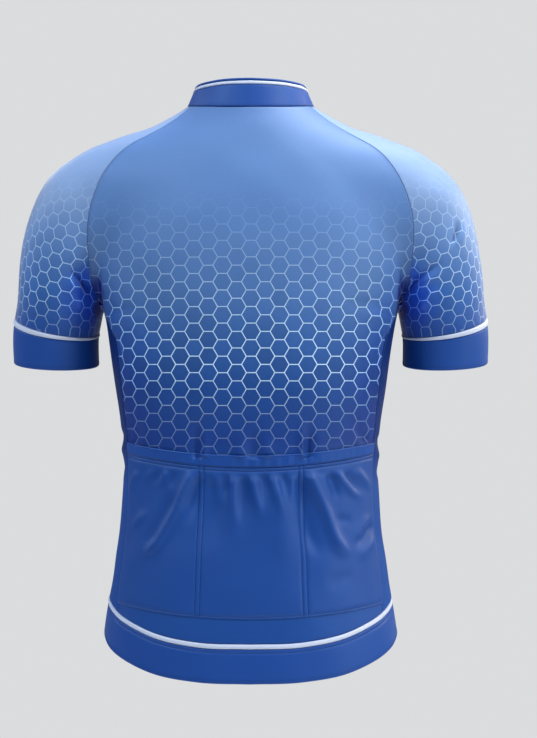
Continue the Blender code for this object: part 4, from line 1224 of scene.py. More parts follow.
# How strongly the honeycomb is printed: height, strength. The sleeves have their own.
BODY_COMB = ((-0.105, 0.0), (-0.134, 0.06), (-0.163, 0.165), (-0.192, 0.30), (-0.221, 0.46), (-0.250, 0.62),
             (-0.278, 0.79), (-0.307, 0.86), (-0.336, 0.58), (-0.365, 0.24), (-0.388, 0.17), (-0.412, 0.12),
             (-0.436, 0.0))
SLEEVE_COMB = ((-0.082, 0.0), (-0.115, 0.16), (-0.150, 0.36), (-0.180, 0.49), (-0.222, 0.56),
               (-0.245, 0.34), (-0.262, 0.21))
DEEP_BLUE = (0.0030, 0.0400, 0.222)
BAND_BLUE = (0.0028, 0.0410, 0.242)
# The side panels' fade, a painted shade: darkest under the arms, then the knit's own deep blue towards the
# hem.
SIDE_SHADE_FADE = (
    (-0.260, (0.0012, 0.013, 0.105)),
    (-0.405, (0.0014, 0.017, 0.125)),
    (-0.455, (0.0040, 0.044, 0.235)),
)
FADES = {"body_fade": BODY_FADE, "sleeve_fade": SLEEVE_FADE, "side_shade_fade": SIDE_SHADE_FADE}
LINE_WIDTH, LINE_EDGE = 0.0010, 0.00026  # the honeycomb's lines and how softly they end, in metres
LINE_STRENGTH = 0.95                     # how much of a line's colour covers the ground at full print
CELL_TONE = 0.14                         # how much lighter or darker than the ground a cell may be
TWIST_TONE = 0.12                        # the same for a thread's twist
GRAIN_SPREAD = (0.3, 0.7)                # nearly all of a grain lies between these
WALE, COURSE = 0.0009, 0.0008            # between the knit's columns and its rows of loops, in metres


# ---- Nodes
def feed(tree, node, inputs):
    """Give a node's sockets values, or another node's socket to link."""
    for socket, value in inputs.items():
        if isinstance(value, bpy.types.NodeSocket):
            tree.links.new(value, node.inputs[socket])
        else:
            node.inputs[socket].default_value = value


def put(tree, kind, inputs=None, **settings):
    """Add a node with its settings and inputs. Returns its outputs."""
    node = tree.nodes.new(kind)
    for key, value in settings.items():
        setattr(node, key, value)
    feed(tree, node, inputs or {})
    return node.outputs


def use_group(tree, name, inputs):
    return put(tree, "ShaderNodeGroup", inputs, node_tree=bpy.data.node_groups[name])


def maths(tree, operation, *values):
    return put(tree, "ShaderNodeMath", dict(enumerate(values)), operation=operation)[0]


def vectors(tree, operation, *values):
    return put(tree, "ShaderNodeVectorMath", dict(enumerate(values)), operation=operation)[0]


def length_of(tree, *vector, operation="LENGTH"):
    """A vector's length, or with DISTANCE how far two places are apart."""
    return put(tree, "ShaderNodeVectorMath", dict(enumerate(vector)), operation=operation)["Value"]


def joined(tree, x, y, z=0.0):
    return put(tree, "ShaderNodeCombineXYZ", {0: x, 1: y, 2: z})[0]


def split(tree, vector):
    return put(tree, "ShaderNodeSeparateXYZ", {0: vector})


def ranged(tree, value, low, high, to_low=0.0, to_high=1.0, **settings):
    """A value moved from one range to another, and kept inside it."""
    inputs = {0: value, 1: low, 2: high, 3: to_low, 4: to_high}
    return put(tree, "ShaderNodeMapRange", inputs, **settings)[0]


SMOOTH = {"interpolation_type": "SMOOTHSTEP"}


def mixed(tree, factor, first, second, blend="MIX"):
    inputs = {0: factor, 6: first, 7: second}
    return put(tree, "ShaderNodeMix", inputs, data_type="RGBA", blend_type=blend)[2]


def tinted(tree, colour, tone):
    """A colour multiplied by a tone about one, or by another colour."""
    return mixed(tree, 1.0, colour, tone, "MULTIPLY")


def grain(tree, place, scale, detail):
    """An irregular grain about a half, in so many patches to the metre."""
    return put(tree, "ShaderNodeTexNoise", {"Vector": place, "Scale": scale, "Detail": detail})[0]


def bumped(tree, height, strength, distance):
    return put(tree, "ShaderNodeBump", {"Strength": strength, "Distance": distance, "Height": height})[0]


def place_on_jersey(tree):
    return put(tree, "ShaderNodeTexCoord")["Object"]


def place_on_cloth(tree):
    return put(tree, "ShaderNodeUVMap", uv_map="cloth")[0]


def by_height(tree, place, stops):
    """A colour ramp down the jersey from (height, colour) stops."""
    node = tree.nodes.new("ShaderNodeValToRGB")
    feed(tree, node, {0: ranged(tree, split(tree, place)[2], 0.0, FADE_FOOT)})
    band = node.color_ramp
    while len(band.elements) < len(stops):
        band.elements.new(0.5)
    for element, (height, colour) in zip(band.elements, stops):
        element.position = height / FADE_FOOT
        element.color = (*colour, 1)
    return node.outputs[0]


def new_group(name, inputs, outputs):
    """A node group with named inputs (name, kind, default) and outputs (name, kind)."""
    tree = bpy.data.node_groups.new(name, "ShaderNodeTree")
    for label, kind, default in inputs:
        socket = tree.interface.new_socket(label, in_out="INPUT", socket_type="NodeSocket" + kind)
        if default is not None:
            socket.default_value = default
    for label, kind in outputs:
        tree.interface.new_socket(label, in_out="OUTPUT", socket_type="NodeSocket" + kind)
    return tree, put(tree, "NodeGroupInput"), tree.nodes.new("NodeGroupOutput")


def honeycomb_group():
    """Lines of a honeycomb with flat tops, and a number of its own for each cell."""
    tree, given, result = new_group(
        "honeycomb",
        (("Cloth", "Vector", None), ("Across flats", "Float", 0.019), ("Line width", "Float", LINE_WIDTH),
         ("Line edge", "Float", LINE_EDGE), ("First column", "Float", 0.0), ("First row", "Float", 0.0)),
        (("Line", "Float"), ("Cell", "Float")))
    pitch = math.sqrt(3)    # between columns of one row, where a cell is one across its flats
    half_tile = (0.5, 0.5, 0)
    counts = (4 / pitch, 4, 0)       # finer than the cells, so that no two share a number
    first_count = (100.2, 100.2, 0)  # keeps the cells' middles clear of the counts' steps

    def from_middle(tiles):
        """Where each point lies from the middle of its own tile."""
        corner = vectors(tree, "FRACTION", tiles)
        return vectors(tree, "MULTIPLY", vectors(tree, "SUBTRACT", corner, half_tile), (pitch, 1, 0))

    across = given["Across flats"]
    start = joined(tree, given["First column"], given["First row"])
    size = joined(tree, across, across, across)
    scaled = vectors(tree, "DIVIDE", vectors(tree, "SUBTRACT", given["Cloth"], start), size)
    tiles = vectors(tree, "DIVIDE", scaled, (pitch, 1, 1))
    first, second = from_middle(vectors(tree, "ADD", tiles, half_tile)), from_middle(tiles)
    second_nearer = maths(tree, "LESS_THAN", length_of(tree, second), length_of(tree, first))
    nearest = put(tree, "ShaderNodeMix", {0: second_nearer, 4: first, 5: second}, data_type="VECTOR")[1]
    part = split(tree, vectors(tree, "ABSOLUTE", nearest))
    slant = maths(tree, "ADD", maths(tree, "MULTIPLY", part[0], pitch / 2),
                  maths(tree, "MULTIPLY", part[1], 0.5))
    reach = maths(tree, "MAXIMUM", part[1], slant)
    depth = maths(tree, "MULTIPLY", maths(tree, "SUBTRACT", 0.5, reach), across)
    half = maths(tree, "MULTIPLY", given["Line width"], 0.5)
    inner, outer = (maths(tree, operation, half, given["Line edge"]) for operation in ("SUBTRACT", "ADD"))
    centre = vectors(tree, "ADD", vectors(tree, "SUBTRACT", scaled, nearest), first_count)
    counted = vectors(tree, "FLOOR", vectors(tree, "MULTIPLY", centre, counts))
    feed(tree, result, {
        "Line": ranged(tree, depth, inner, outer, 1.0, 0.0, **SMOOTH),
        "Cell": put(tree, "ShaderNodeTexWhiteNoise", {0: counted}, noise_dimensions="3D")["Value"]})


def knit_group():
    """Height of a fine jersey knit: columns of small V-shaped loops."""
    tree, given, result = new_group(
        "fine_knit",
        (("Cloth", "Vector", None), ("Wale", "Float", WALE), ("Course", "Float", COURSE)),
        (("Height", "Float"),))
    part = split(tree, given["Cloth"])
    wale = maths(tree, "DIVIDE", part[0], given["Wale"])
    course = maths(tree, "DIVIDE", part[1], given["Course"])
    column = maths(tree, "ABSOLUTE", maths(tree, "SINE", maths(tree, "MULTIPLY", wale, math.pi)))
    leaning = maths(tree, "ADD", course, maths(tree, "PINGPONG", wale, 0.5))
    loop = maths(tree, "SINE", maths(tree, "MULTIPLY", leaning, 2 * math.pi))
    loop = maths(tree, "MULTIPLY_ADD", loop, 0.25, 0.75)
    feed(tree, result, {"Height": maths(tree, "MULTIPLY", column, loop)})


def fade_group(name, stops):
    """A print's colour at each height of the jersey."""
    tree, given, result = new_group(name, (("Place", "Vector", None),), (("Colour", "Color"),))
    feed(tree, result, {"Colour": by_height(tree, given["Place"], stops)})


def painted_shade_group():
    """A painted shade: a tint that darkens the print about a place on each side of the jersey, and is white
    away from it.
    """
    tree, given, result = new_group(
        "painted_side_shade",
        (("Place", "Vector", None), ("Middle", "Vector", None), ("Near", "Float", 0.02),
         ("Far", "Float", 0.08), ("Darkest shade", "Color", None)),
        (("Tint", "Color"),))
    part = split(tree, given["Place"])
    mirrored = joined(tree, maths(tree, "ABSOLUTE", part[0]), part[1], part[2])
    apart = length_of(tree, mirrored, given["Middle"], operation="DISTANCE")
    away = ranged(tree, apart, given["Near"], given["Far"], **SMOOTH)
    feed(tree, result, {"Tint": mixed(tree, away, given["Darkest shade"], (1, 1, 1, 1))})


def mottle_group():
    """Slight unevenness of dyed cloth: a broad and a fine one, about one."""
    tree, given, result = new_group(
        "mottle",
        (("Place", "Vector", None), ("Broad", "Float", 0.05), ("Fine", "Float", 0.04)),
        (("Tone", "Float"),))
    slow, quick = (
        maths(tree, "MULTIPLY", maths(tree, "SUBTRACT", grain(tree, given["Place"], scale, detail), 0.5),
              given[label])
        for scale, detail, label in ((14.0, 2.0, "Broad"), (900.0, 1.0, "Fine")))
    feed(tree, result, {"Tone": maths(tree, "ADD", maths(tree, "ADD", slow, quick), 1.0)})


# ---- Materials
WHITE = (1.0, 1.0, 1.0)
PALE_GLOSS = (0.94, 0.97, 1.0)
LINE_COLOUR = (0.58, 0.80, 1.0)
BAND_GLOSS = (0.62, 0.86, 1.0)
SIDE_GLOSS = (0.25, 0.50, 1.0)
BLUE_GLOSS = (0.58, 0.80, 1.0)  # the dyed yarn's own gloss
# Painted shade: the print darkens along the sides and under the arms, each time about a middle given for
# the right side.
BODY_PAINTED_SHADES = (
    {"Middle": (0.225, -0.02, -0.33), "Near": 0.070, "Far": 0.170, "Darkest shade": (0.30, 0.52, 0.84, 1)},
    {"Middle": (0.182, -0.02, -0.218), "Near": 0.008, "Far": 0.030, "Darkest shade": (0.01, 0.10, 0.62, 1)},
)
SLEEVE_PAINTED_SHADES = (
    {"Middle": (0.183, -0.02, -0.222), "Near": 0.020, "Far": 0.062, "Darkest shade": (0.10, 0.50, 1.36, 1)},
)
LINE_PAINTED_SHADE = 0.7  # how much of the painted shade also darkens the honeycomb's lines
# Painted shade in the tuck under the arm, where the lines darken as much as the print.
TUCK_PAINTED_SHADE = {"Middle": (0.179, -0.012, -0.240), "Near": 0.007, "Far": 0.017, "Darkest shade": (0.06, 0.18, 0.45, 1)}
# Prints: material, fade, comb, size and first column and row of its cells, painted shades, sheen.
PRINTS = (
    ("body_print", "body_fade", BODY_COMB, (0.0190, 0.0012, -0.2307), BODY_PAINTED_SHADES, 0.06),
    ("sleeve_print", "sleeve_fade", SLEEVE_COMB, (0.01705, 0.0, 0.004), SLEEVE_PAINTED_SHADES, 0.36),
)
PRINT_ROUGH, KNIT_ROUGH = 0.52, 0.5
ROUGHER_BETWEEN, SMOOTHER_ON = 0.06, 0.04  # how roughness changes between a knit's loops and on them
LOOP_HIGH = 0.00012                        # what a knit's bump takes for the height of its loops


def new_material(name, roughness, sheen=0.0, sheen_roughness=0.4, specular=0.4, metallic=0.0,
                 gloss_tint=WHITE, sheen_tint=PALE_GLOSS):
    """A material with its shader's constants. Returns its node tree and the shader."""
    material = bpy.data.materials.new(name)
    material.use_nodes = True
    tree = material.node_tree
    shader = tree.nodes["Principled BSDF"]
    feed(tree, shader, {
        "Roughness": roughness, "Metallic": metallic, "Specular IOR Level": specular,
        "Sheen Weight": sheen, "Sheen Roughness": sheen_roughness,
        "Sheen Tint": (*sheen_tint, 1), "Specular Tint": (*gloss_tint, 1)})
    return tree, shader


def finish_knit(tree, shader, colour, roughness, mottle, shade, wale=WALE, course=COURSE, strength=0.5):
    """Give a knit its colour with its unevenness, its loops and the shade between them."""
    loops = {"Cloth": place_on_cloth(tree), "Wale": wale, "Course": course}
    knit = use_group(tree, "fine_knit", loops)["Height"]
    broad, fine = mottle
    tone = use_group(tree, "mottle", {"Place": place_on_jersey(tree), "Broad": broad, "Fine": fine})["Tone"]
    # Painted shade between the knit's loops and painted light on their tops: the colour is darker where the
    # knit is low.
    dyed_and_loop_shaded = tinted(tree, tinted(tree, colour, tone), ranged(tree, knit, 0.0, 1.0, *shade))
    between_loops, on_loops = roughness + ROUGHER_BETWEEN, roughness - SMOOTHER_ON
    feed(tree, shader, {
        "Base Color": dyed_and_loop_shaded,
        "Roughness": ranged(tree, knit, 0.0, 1.0, between_loops, on_loops),
        "Normal": bumped(tree, knit, strength, LOOP_HIGH)})


def make_print(name, fade, comb_stops, cells, shade_spots, sheen):
    """Printed knit: the height fade with a honeycomb whose strength changes with height."""
    tree, shader = new_material(name, PRINT_ROUGH, sheen=sheen, sheen_roughness=0.35, gloss_tint=BLUE_GLOSS)
    place = place_on_jersey(tree)
    across_flats, first_column, first_row = cells
    comb = use_group(tree, "honeycomb", {
        "Cloth": place_on_cloth(tree), "Across flats": across_flats,
        "First column": first_column, "First row": first_row})
    strength = by_height(tree, place, [(height, (share,) * 3) for height, share in comb_stops])
    cell_tone = ranged(tree, comb["Cell"], 0.0, 1.0, -CELL_TONE, CELL_TONE)
    ground = tinted(tree, use_group(tree, fade, {"Place": place})["Colour"],
                    maths(tree, "MULTIPLY_ADD", cell_tone, strength, 1.0))
    # Painted shade: the print darkens along the body's sides and under the arms, and its lines darken by a
    # share of that.
    painted_shade_tint = (*WHITE, 1)
    for shade_spot in shade_spots:
        tint = use_group(tree, "painted_side_shade", {"Place": place, **shade_spot})["Tint"]
        painted_shade_tint = tinted(tree, tint, painted_shade_tint)
    ground = tinted(tree, ground, painted_shade_tint)
    ink = tinted(tree, (*LINE_COLOUR, 1), mixed(tree, LINE_PAINTED_SHADE, (*WHITE, 1), painted_shade_tint))
    inked = maths(tree, "MULTIPLY", comb["Line"], maths(tree, "MULTIPLY", strength, LINE_STRENGTH))
    # Painted shade in the tuck under the arm darkens the print and its lines alike.
    tuck = use_group(tree, "painted_side_shade", {"Place": place, **TUCK_PAINTED_SHADE})["Tint"]
    colour = tinted(tree, mixed(tree, inked, ground, ink), tuck)
    finish_knit(tree, shader, colour, PRINT_ROUGH, mottle=(0.07, 0.20), shade=(0.95, 1.03))


def make_plain_knit(name, dye, sheen=0.06, roughness=KNIT_ROUGH, gloss=PALE_GLOSS, **loops):
    """Knit of one colour, or of a named fade, with its slight unevenness and its loops."""
    tree, shader = new_material(name, roughness, sheen=sheen, sheen_roughness=0.35, gloss_tint=gloss,
                                sheen_tint=gloss)
    faded = isinstance(dye, str)
    colour = use_group(tree, dye, {"Place": place_on_jersey(tree)})["Colour"] if faded else (*dye, 1)
    finish_knit(tree, shader, colour, roughness, mottle=(0.08, 0.16), shade=(0.93, 1.04), **loops)


def make_thread(name, darker):
    """Sewing thread dyed to the cloth under it, twisted."""
    tree, shader = new_material(name, roughness=0.6, specular=0.1)
    place = place_on_jersey(tree)
    ground = use_group(tree, "body_fade", {"Place": place})["Colour"]
    twist = grain(tree, place, scale=2500.0, detail=1.0)
    tone = ranged(tree, twist, *GRAIN_SPREAD, darker - TWIST_TONE, darker + TWIST_TONE)
    feed(tree, shader, {"Base Color": tinted(tree, ground, tone),
                        "Normal": bumped(tree, twist, strength=0.4, distance=0.0001)})


def make_overlock_thread():
    """Loops of overlock thread, seen on the wrong side."""
    tree, shader = new_material("overlock_thread", roughness=0.6, sheen=0.2)
    loops = grain(tree, place_on_jersey(tree), scale=1200.0, detail=2.0)
    feed(tree, shader, {"Base Color": mixed(tree, loops, (0.10, 0.17, 0.40, 1), (0.24, 0.34, 0.62, 1)),
                        "Normal": bumped(tree, loops, strength=0.8, distance=0.0004)})


def make_metal():
    """Nickel-plated zinc with fine wear."""
    tree, shader = new_material("zip_metal_plated", roughness=0.28, metallic=1.0)
    wear = grain(tree, place_on_jersey(tree), scale=700.0, detail=4.0)
    feed(tree, shader, {"Base Color": mixed(tree, wear, (0.50, 0.52, 0.56, 1), (0.66, 0.68, 0.71, 1)),
                        "Roughness": ranged(tree, wear, *GRAIN_SPREAD, 0.22, 0.38),
                        "Normal": bumped(tree, wear, strength=0.2, distance=0.00005)})


def make_materials():
    honeycomb_group()
    knit_group()
    for name, stops in FADES.items():
        fade_group(name, stops)
    painted_shade_group()
    mottle_group()
    for row in PRINTS:
        make_print(*row)
    make_plain_knit("deep_blue_knit", DEEP_BLUE, gloss=BLUE_GLOSS)
    # The side panels' knit takes the painted shade of its fade, darkest under the arms.
    make_plain_knit("side_knit", "side_shade_fade", sheen=0.02, gloss=SIDE_GLOSS)
    make_plain_knit("band_knit", BAND_BLUE, sheen=0.10, gloss=BAND_GLOSS, wale=0.0013, course=0.0011)
    make_plain_knit("wrong_side", (0.52, 0.60, 0.74), sheen=0.2, roughness=0.65)
    make_plain_knit("piping_white", (0.42, 0.48, 0.64), wale=0.0008, course=0.0007)
    make_plain_knit("zip_tape_weave", (0.012, 0.040, 0.20), sheen=0.1, wale=0.0006, course=0.0006)
    make_plain_knit("zip_coil", (0.016, 0.050, 0.23), sheen=0.0, roughness=0.3, strength=0.0)
    make_thread("seam_thread", 0.8)
    make_thread("deep_thread", 0.6)
    make_overlock_thread()
    make_metal()


# ---- Pieces
ALL_EDGES = ("top", "bottom", "first", "last")
LONG_EDGES = ("top", "bottom")
# The collar's parts: cut, piece, slot, finish, how far its middle stands out.
COLLAR_PARTS = (
    ("collar", "cloth_collar", "deep_knit", "band_knit", 0.0),
    ("collar_piping", "trim_collar", "white_piping", "piping_white", COLLAR_PIPING_CROWN),
    ("collar_binding", "edge_collar", "deep_knit", "deep_blue_knit", COLLAR_BINDING_CROWN),
)


def side_name(side):
    return "right" if side > 0 else "left"


def sided(grid, side):
    """A grid of the right half as it is, or mirrored for the left with its columns turned about."""
    return grid[:, ::side] * (side, 1, 1)


def make_back(back):
    places = print_places(back, BACK_COLUMNS // 2)
    laid = lay("cloth_back", back, places, ("body_print", "wrong_side"), CLOTH,
               "back_panel", ALL_EDGES)
    lines = [inset_line(laid, edge, SEAM_STITCH_INSET) for edge in ("first", "last")]
    sew("stitches_back", lines, "seam_thread")


def make_front(front, side):
    """One front; side is 1 for the jersey's right and -1 for its left."""
    name = side_name(side)
    grid = sided(front, side)
    zip_side, seam_side = ("first", "last")[::side]
    places = print_places(grid, 0 if side > 0 else FRONT_COLUMNS)
    laid = lay("cloth_front_" + name, grid, places, ("body_print", "wrong_side"), CLOTH,
               "front_" + name, (*LONG_EDGES, seam_side), turned=True)
    lines = [inset_line(laid, seam_side, SEAM_STITCH_INSET)]
    lines += [inset_line(laid, zip_side, inset) for inset in ZIP_STITCH_INSETS]
    sew("stitches_front_" + name, lines, "seam_thread")


def make_side(panel, side):
    name = side_name(side)
    grid = sided(panel, side)
    places = plain_places(grid, SIDE_COLUMNS // 2)
    lay("cloth_side_" + name, grid, places, ("side_knit", "wrong_side"), CLOTH,
        "side_" + name, ALL_EDGES)


def crowned(rows, high):
    """How far each row across a piping stands out."""
    return np.sin(np.linspace(0, np.pi, rows + 1))[:, None] ** CROWN_POWER * high


def make_sleeve(edge, side):
    """A sleeve with its piping and its cuff."""
    name = side_name(side)
    even = sleeve_turns(edge)[2]
    end = CUFF_PIPING_TALL + CUFF_TALL - SEAM_GAP / 2
    sleeve = close_ring(sleeve_cut(edge))
    piping = close_ring(cuff_ring(even, 0, CUFF_PIPING_TALL, TRIM_ROWS))
    cuff = close_ring(cuff_ring(even, CUFF_PIPING_TALL, end, CUFF_ROWS))
    rings = (
        ("cloth_sleeve_", sleeve, sleeve_places(sleeve, even), ("sleeve_print", "wrong_side"), CLOTH,
         "printed_knit", "sleeve_", 0.0),
        ("trim_sleeve_", piping, plain_places(piping), ("piping_white",), TRIM_CLOTH,
         "white_piping", "cuff_piping_", crowned(TRIM_ROWS, PIPING_CROWN)),
        ("band_sleeve_", cuff, plain_places(cuff), ("band_knit",), TRIM_CLOTH, "deep_knit", "cuff_", 0.0),
    )
    for label, grid, places, finishes, thickness, slot, node, stand in rings:
        laid = lay(label + name, grid * (side, 1, 1), places * (side, 1), finishes, thickness,
                   node + name, LONG_EDGES, stand=stand, closed=True, turned=side < 0)
    lines = [inset_line(laid, "bottom", inset) for inset in HEM_STITCH_INSETS]
    sew("stitches_sleeve_" + name, lines)


def make_collar(cuts):
    """The collar's band, its piping and the binding along its top."""
    for node, label, slot, finish, crown in COLLAR_PARTS:
        grid = cuts[node]
        laid = lay(label, grid, plain_places(grid), (finish,), COLLAR_CLOTH, node, LONG_EDGES,
                   stand=crowned(len(grid) - 1, crown))
        if node == "collar":
            lines = [inset_line(laid, "bottom", COLLAR_STITCH_INSET)]
            sew("stitches_collar", lines)


def make_hem(piping, band):
    """The hem's piping and the band below it."""
    middle = piping.shape[1] // 2
    lay("trim_hem", piping, plain_places(piping, middle), ("piping_white",), TRIM_CLOTH,
        "hem_piping", LONG_EDGES, stand=crowned(TRIM_ROWS, PIPING_CROWN))
    laid = lay("band_hem", band, plain_places(band, middle), ("band_knit",), TRIM_CLOTH,
               "hem_band", LONG_EDGES, stand=-hem_band_rows()[1][:, None])
    lines = [inset_line(laid, "top", HEM_TOP_STITCH_INSET)]
    lines += [inset_line(laid, "bottom", inset) for inset in HEM_STITCH_INSETS]
    sew("stitches_hem", lines)


def make_pockets(lines):
    """The pocket panel, sewn down in grooves between the pockets, and the band along its top."""
    grid, groove, puff = pocket_cut(lines)
    laid = lay("cloth_pockets", grid, plain_places(grid, grid.shape[1] // 2), ("deep_blue_knit",), CLOTH,
               "pocket_panel", ALL_EDGES, lift=LAYER_GAP + CLOTH, stand=puff - groove)
    points = np.concatenate(laid, -1)
    added = len(EDGE_LINES) - 1
    deepest = max(depth for _, depth in GROOVE)
    middle_row, middle_column = (count // 2 for count in groove.shape)
    sewn_rows = np.flatnonzero(groove[:, middle_column] == deepest) + added
    sewn_columns = np.flatnonzero(groove[middle_row] == deepest) + added
    columns = [points[sewn_rows[0]:, column] for column in sewn_columns]
    grid, stand = band_cut(lines)
    laid = lay("band_pockets", grid, plain_places(grid, BAND_COLUMNS // 2), ("band_knit",), TRIM_CLOTH,
               "pocket_band", ALL_EDGES, lift=LAYER_GAP + TRIM_CLOTH, stand=stand)
    rows = [points[row] for row in sewn_rows]
    rows += [inset_line(laid, edge, BAND_STITCH_INSET) for edge in LONG_EDGES]
    sew("stitches_pockets", rows + columns)


def make_seam_allowances(lines, back, front, side, piping, collar):
    """The overlocked edges inside the jersey, behind every seam."""
    def both(line, out, closed=False, thickness=CLOTH):
        right = np.concatenate([line, out], -1)
        return [(right, closed, thickness), (right * (*MIRROR, *MIRROR), closed, thickness)]

    def row_of(grid, row, thickness):
        return np.concatenate([grid[row], facing(grid)[row]], -1), False, thickness

    neck = collar["collar"][-1]
    whole = [*both(back[:, -1], facing(back)[:, -1]),
             *both(front[:, -1], -facing(front)[:, -1]),
             *both(side[0], facing(side)[0]),
             (np.concatenate([neck, unit(neck * (1, 1, 0))], -1), False, COLLAR_CLOTH),
             row_of(collar["collar_piping"], TRIM_ROWS // 2, COLLAR_CLOTH),
             row_of(piping, 0, TRIM_CLOTH),
             row_of(piping, -1, TRIM_CLOTH)]
    even = sleeve_turns(armhole(lines))[2]
    for start in (0, CUFF_PIPING_TALL):
        ring = close_ring(cuff_ring(even, start, start + 1, 1))
        whole += both(ring[0], facing(ring, closed=True)[0], closed=True, thickness=TRIM_CLOTH)
    overlock("seams", whole, "overlock_thread")


# ---- Zip
def zip_edge(front, collar, piping, band):
    """The edge of the cloth beside the zip, from the collar's top to the hem's bottom."""
    return np.array([collar["collar_binding"][0, -1], collar["collar"][0, -1], *front[:, 0], piping[-1, -1],
                     *band[1:, -1]])


def zip_run(edge):
    """Where the zip runs, at even steps, and its outward directions."""
    edge = even_steps(edge, ZIP_STEP, ends=True)
    down = unit(np.gradient(edge, axis=0) * (0, 1, 1))
    out = np.stack([np.zeros(len(edge)), -down[:, 2], down[:, 1]], -1)
    return edge, unit(out * np.sign(out[:, 1:2]))


def make_zip_tape(edge, out, side):
    """One woven tape with its raised guide line."""
    name = side_name(side)
    across, proud = np.array(TAPE_PROFILE).T
    grid = np.repeat(edge[:, None], len(across), axis=1)
    grid[..., 0] = side * across
    shift = out[:, None] * fold_shift(edge * (side, 1, 1))[:, None, None]
    outer = grid + shift + out[:, None] * (ZIP_PROUD + proud)[None, :, None]
    inner = grid + shift + out[:, None] * (ZIP_PROUD - ZIP_CLOTH)
    layers = [layer[:, ::-side] for layer in (outer, inner, plain_places(grid))]
    settle(shell("tape_zip_" + name, *layers, ("zip_tape_weave",)), "zip_" + name)


def make_zip_coil(edge, out, side):
    """One half of the coil: a tooth to each turn, set between those of the other half."""
    lift = fold_shift(edge * (side, 1, 1)) + ZIP_PROUD + TOOTH_SIZE[2] / 2 - TOOTH_SUNK
    steps = even_steps(np.concatenate([edge + out * lift[:, None], out], -1), TOOTH_PITCH)
    if side < 0:
        steps = (steps[:-1] + steps[1:]) / 2
    origins = steps[:, :3] * (0, 1, 1) + (side * (TOOTH_INNER + TOOTH_SIZE[0] / 2), 0, 0)
    across = np.broadcast_to((1.0, 0.0, 0.0), origins.shape)
    teeth = beans(origins, across, unit(steps[:, 3:]), TOOTH_SIZE)
    settle(solid("coil_" + side_name(side), [teeth], "zip_coil", COIL_SHARP))


# ---- Slider and pull tab, in the zip's own directions: across, down and out
def rounded_outline(stations, fineness=10):
    """A closed outline, the same on both sides, through (half width, distance down) stations."""
    half = along(stations, fineness * (len(stations) - 1))
    right = half[half[:, 0] > 1e-6]
    return np.vstack([right, right[::-1] * (-1, 1)])


def level(outline, height, inset=0.0):
    """An outline at a height, drawn in by an inset towards its own middle."""
    inward = np.roll(outline, -1, axis=0) - np.roll(outline, 1, axis=0)
    inward = unit(np.stack([-inward[:, 1], inward[:, 0]], -1))
    facing_middle = np.sign(((outline.mean(0) - outline) * inward).sum(-1, keepdims=True))
    moved = outline + inward * facing_middle * inset
    return np.column_stack([moved, np.full(len(outline), height)])


def plate(outline, low, high, bevel):
    """A flat plate with rounded edges."""
    return lofted([level(outline, low, bevel), level(outline, low + bevel), level(outline, high - bevel),
                   level(outline, high, bevel)])


def pierced_plate(outline, hole, low, high, bevel):
    """A flat plate with a hole, rounded at all its edges. Both outlines have as many points."""
    return lofted([level(outline, low + bevel), level(outline, high - bevel), level(outline, high, bevel),
                   level(hole, high, -bevel), level(hole, high - bevel), level(hole, low + bevel),
                   level(hole, low, -bevel), level(outline, low, bevel)], capped=False)


def bent_strap(path, wide, thick):
    """A strap bent along a path of (down, out) places."""
    path = along(path, BRIDGE_STEPS)
    ahead = unit(np.gradient(path, axis=0))
    away = np.stack([-ahead[:, 1], ahead[:, 0]], -1)
    return lofted([np.array([(x * wide, *(place + side * (y * thick))) for x, y in STRAP_SECTION])
                   for place, side in zip(path, away)])


def metal_piece(name, parts, node, body, centre, down, out):
    """One piece of metal from several parts given in the zip's own directions."""
    placed = [(centre + points[:, :1] * (1, 0, 0) + points[:, 1:2] * down + points[:, 2:] * out, faces)
              for points, faces in parts]
    settle(solid(name, placed, "zip_metal_plated", METAL_SHARP), node, body)


def make_slider(edge):
    """The slider with its rails, its bridge for the pull tab, and the pull tab."""
    down = unit((edge[1] - edge[0]) * (0, 1, 1))
    out = np.array([0.0, -down[2], down[1]])
    centre = edge[0] * (0, 1, 1) + down * SLIDER_DROP
    base = ZIP_PROUD + LAYER_GAP
    face = base + SLIDER_TALL
    parts = [plate(rounded_outline(SLIDER_OUTLINE), base + RAIL_TALL - RAIL_OVERLAP, face, SLIDER_BEVEL)]
    rail = along(SLIDER_RAIL, RAIL_STEPS)
    for side in (1, -1):
        outline = np.vstack([rail * (side, 1), (rail[::-1] - (RAIL_WIDE, 0)) * (side, 1)])
        parts.append(plate(outline, base, base + RAIL_TALL, RAIL_BEVEL))
    divider = rounded_outline(SLIDER_DIVIDER)
    parts.append(plate(divider, base + DIVIDER_FROM, base + RAIL_TALL, FINE_BEVEL))
    parts.append(bent_strap(np.array(BRIDGE) + (0, face), BRIDGE_WIDE, BRIDGE_THICK))
    for side in (-1, 1):
        ridge = rounded_outline(SLIDER_RIDGE, 8) + np.array(RIDGE_PLACE) * (side, 1)
        parts.append(plate(ridge, face - RIDGE_SUNK, face + RIDGE_TALL, FINE_BEVEL))
    metal_piece("slider", parts, "zip_slider", "jersey", centre, down, out)
    make_pull_tab(centre + out * (face + HINGE_OUT), down, out)


def make_pull_tab(hinge, down, out):
    """The pull tab, hung by its bar under the slider's bridge, with a rounded end and grip ridges."""
    outline, hole = rounded_outline(PULL_OUTLINE, 8), rounded_outline(PULL_HOLE, 8)
    parts = [pierced_plate(outline, hole, -PULL_THICK / 2, PULL_THICK / 2, PULL_BEVEL)]
    last_ridge = PULL_OUTLINE[-1][1] - GRIP_FROM_END
    for face in (-1, 1):
        for k in range(GRIP_RIDGES):
            place = (0, last_ridge - k * GRIP_PITCH, face * (PULL_THICK / 2 - GRIP_SUNK))
            parts.append((BEAN * GRIP_SIZE + place, BEAN_FACES))
    metal_piece("pull_tab", parts, "zip_pull", "pull_tab", hinge, down, out)


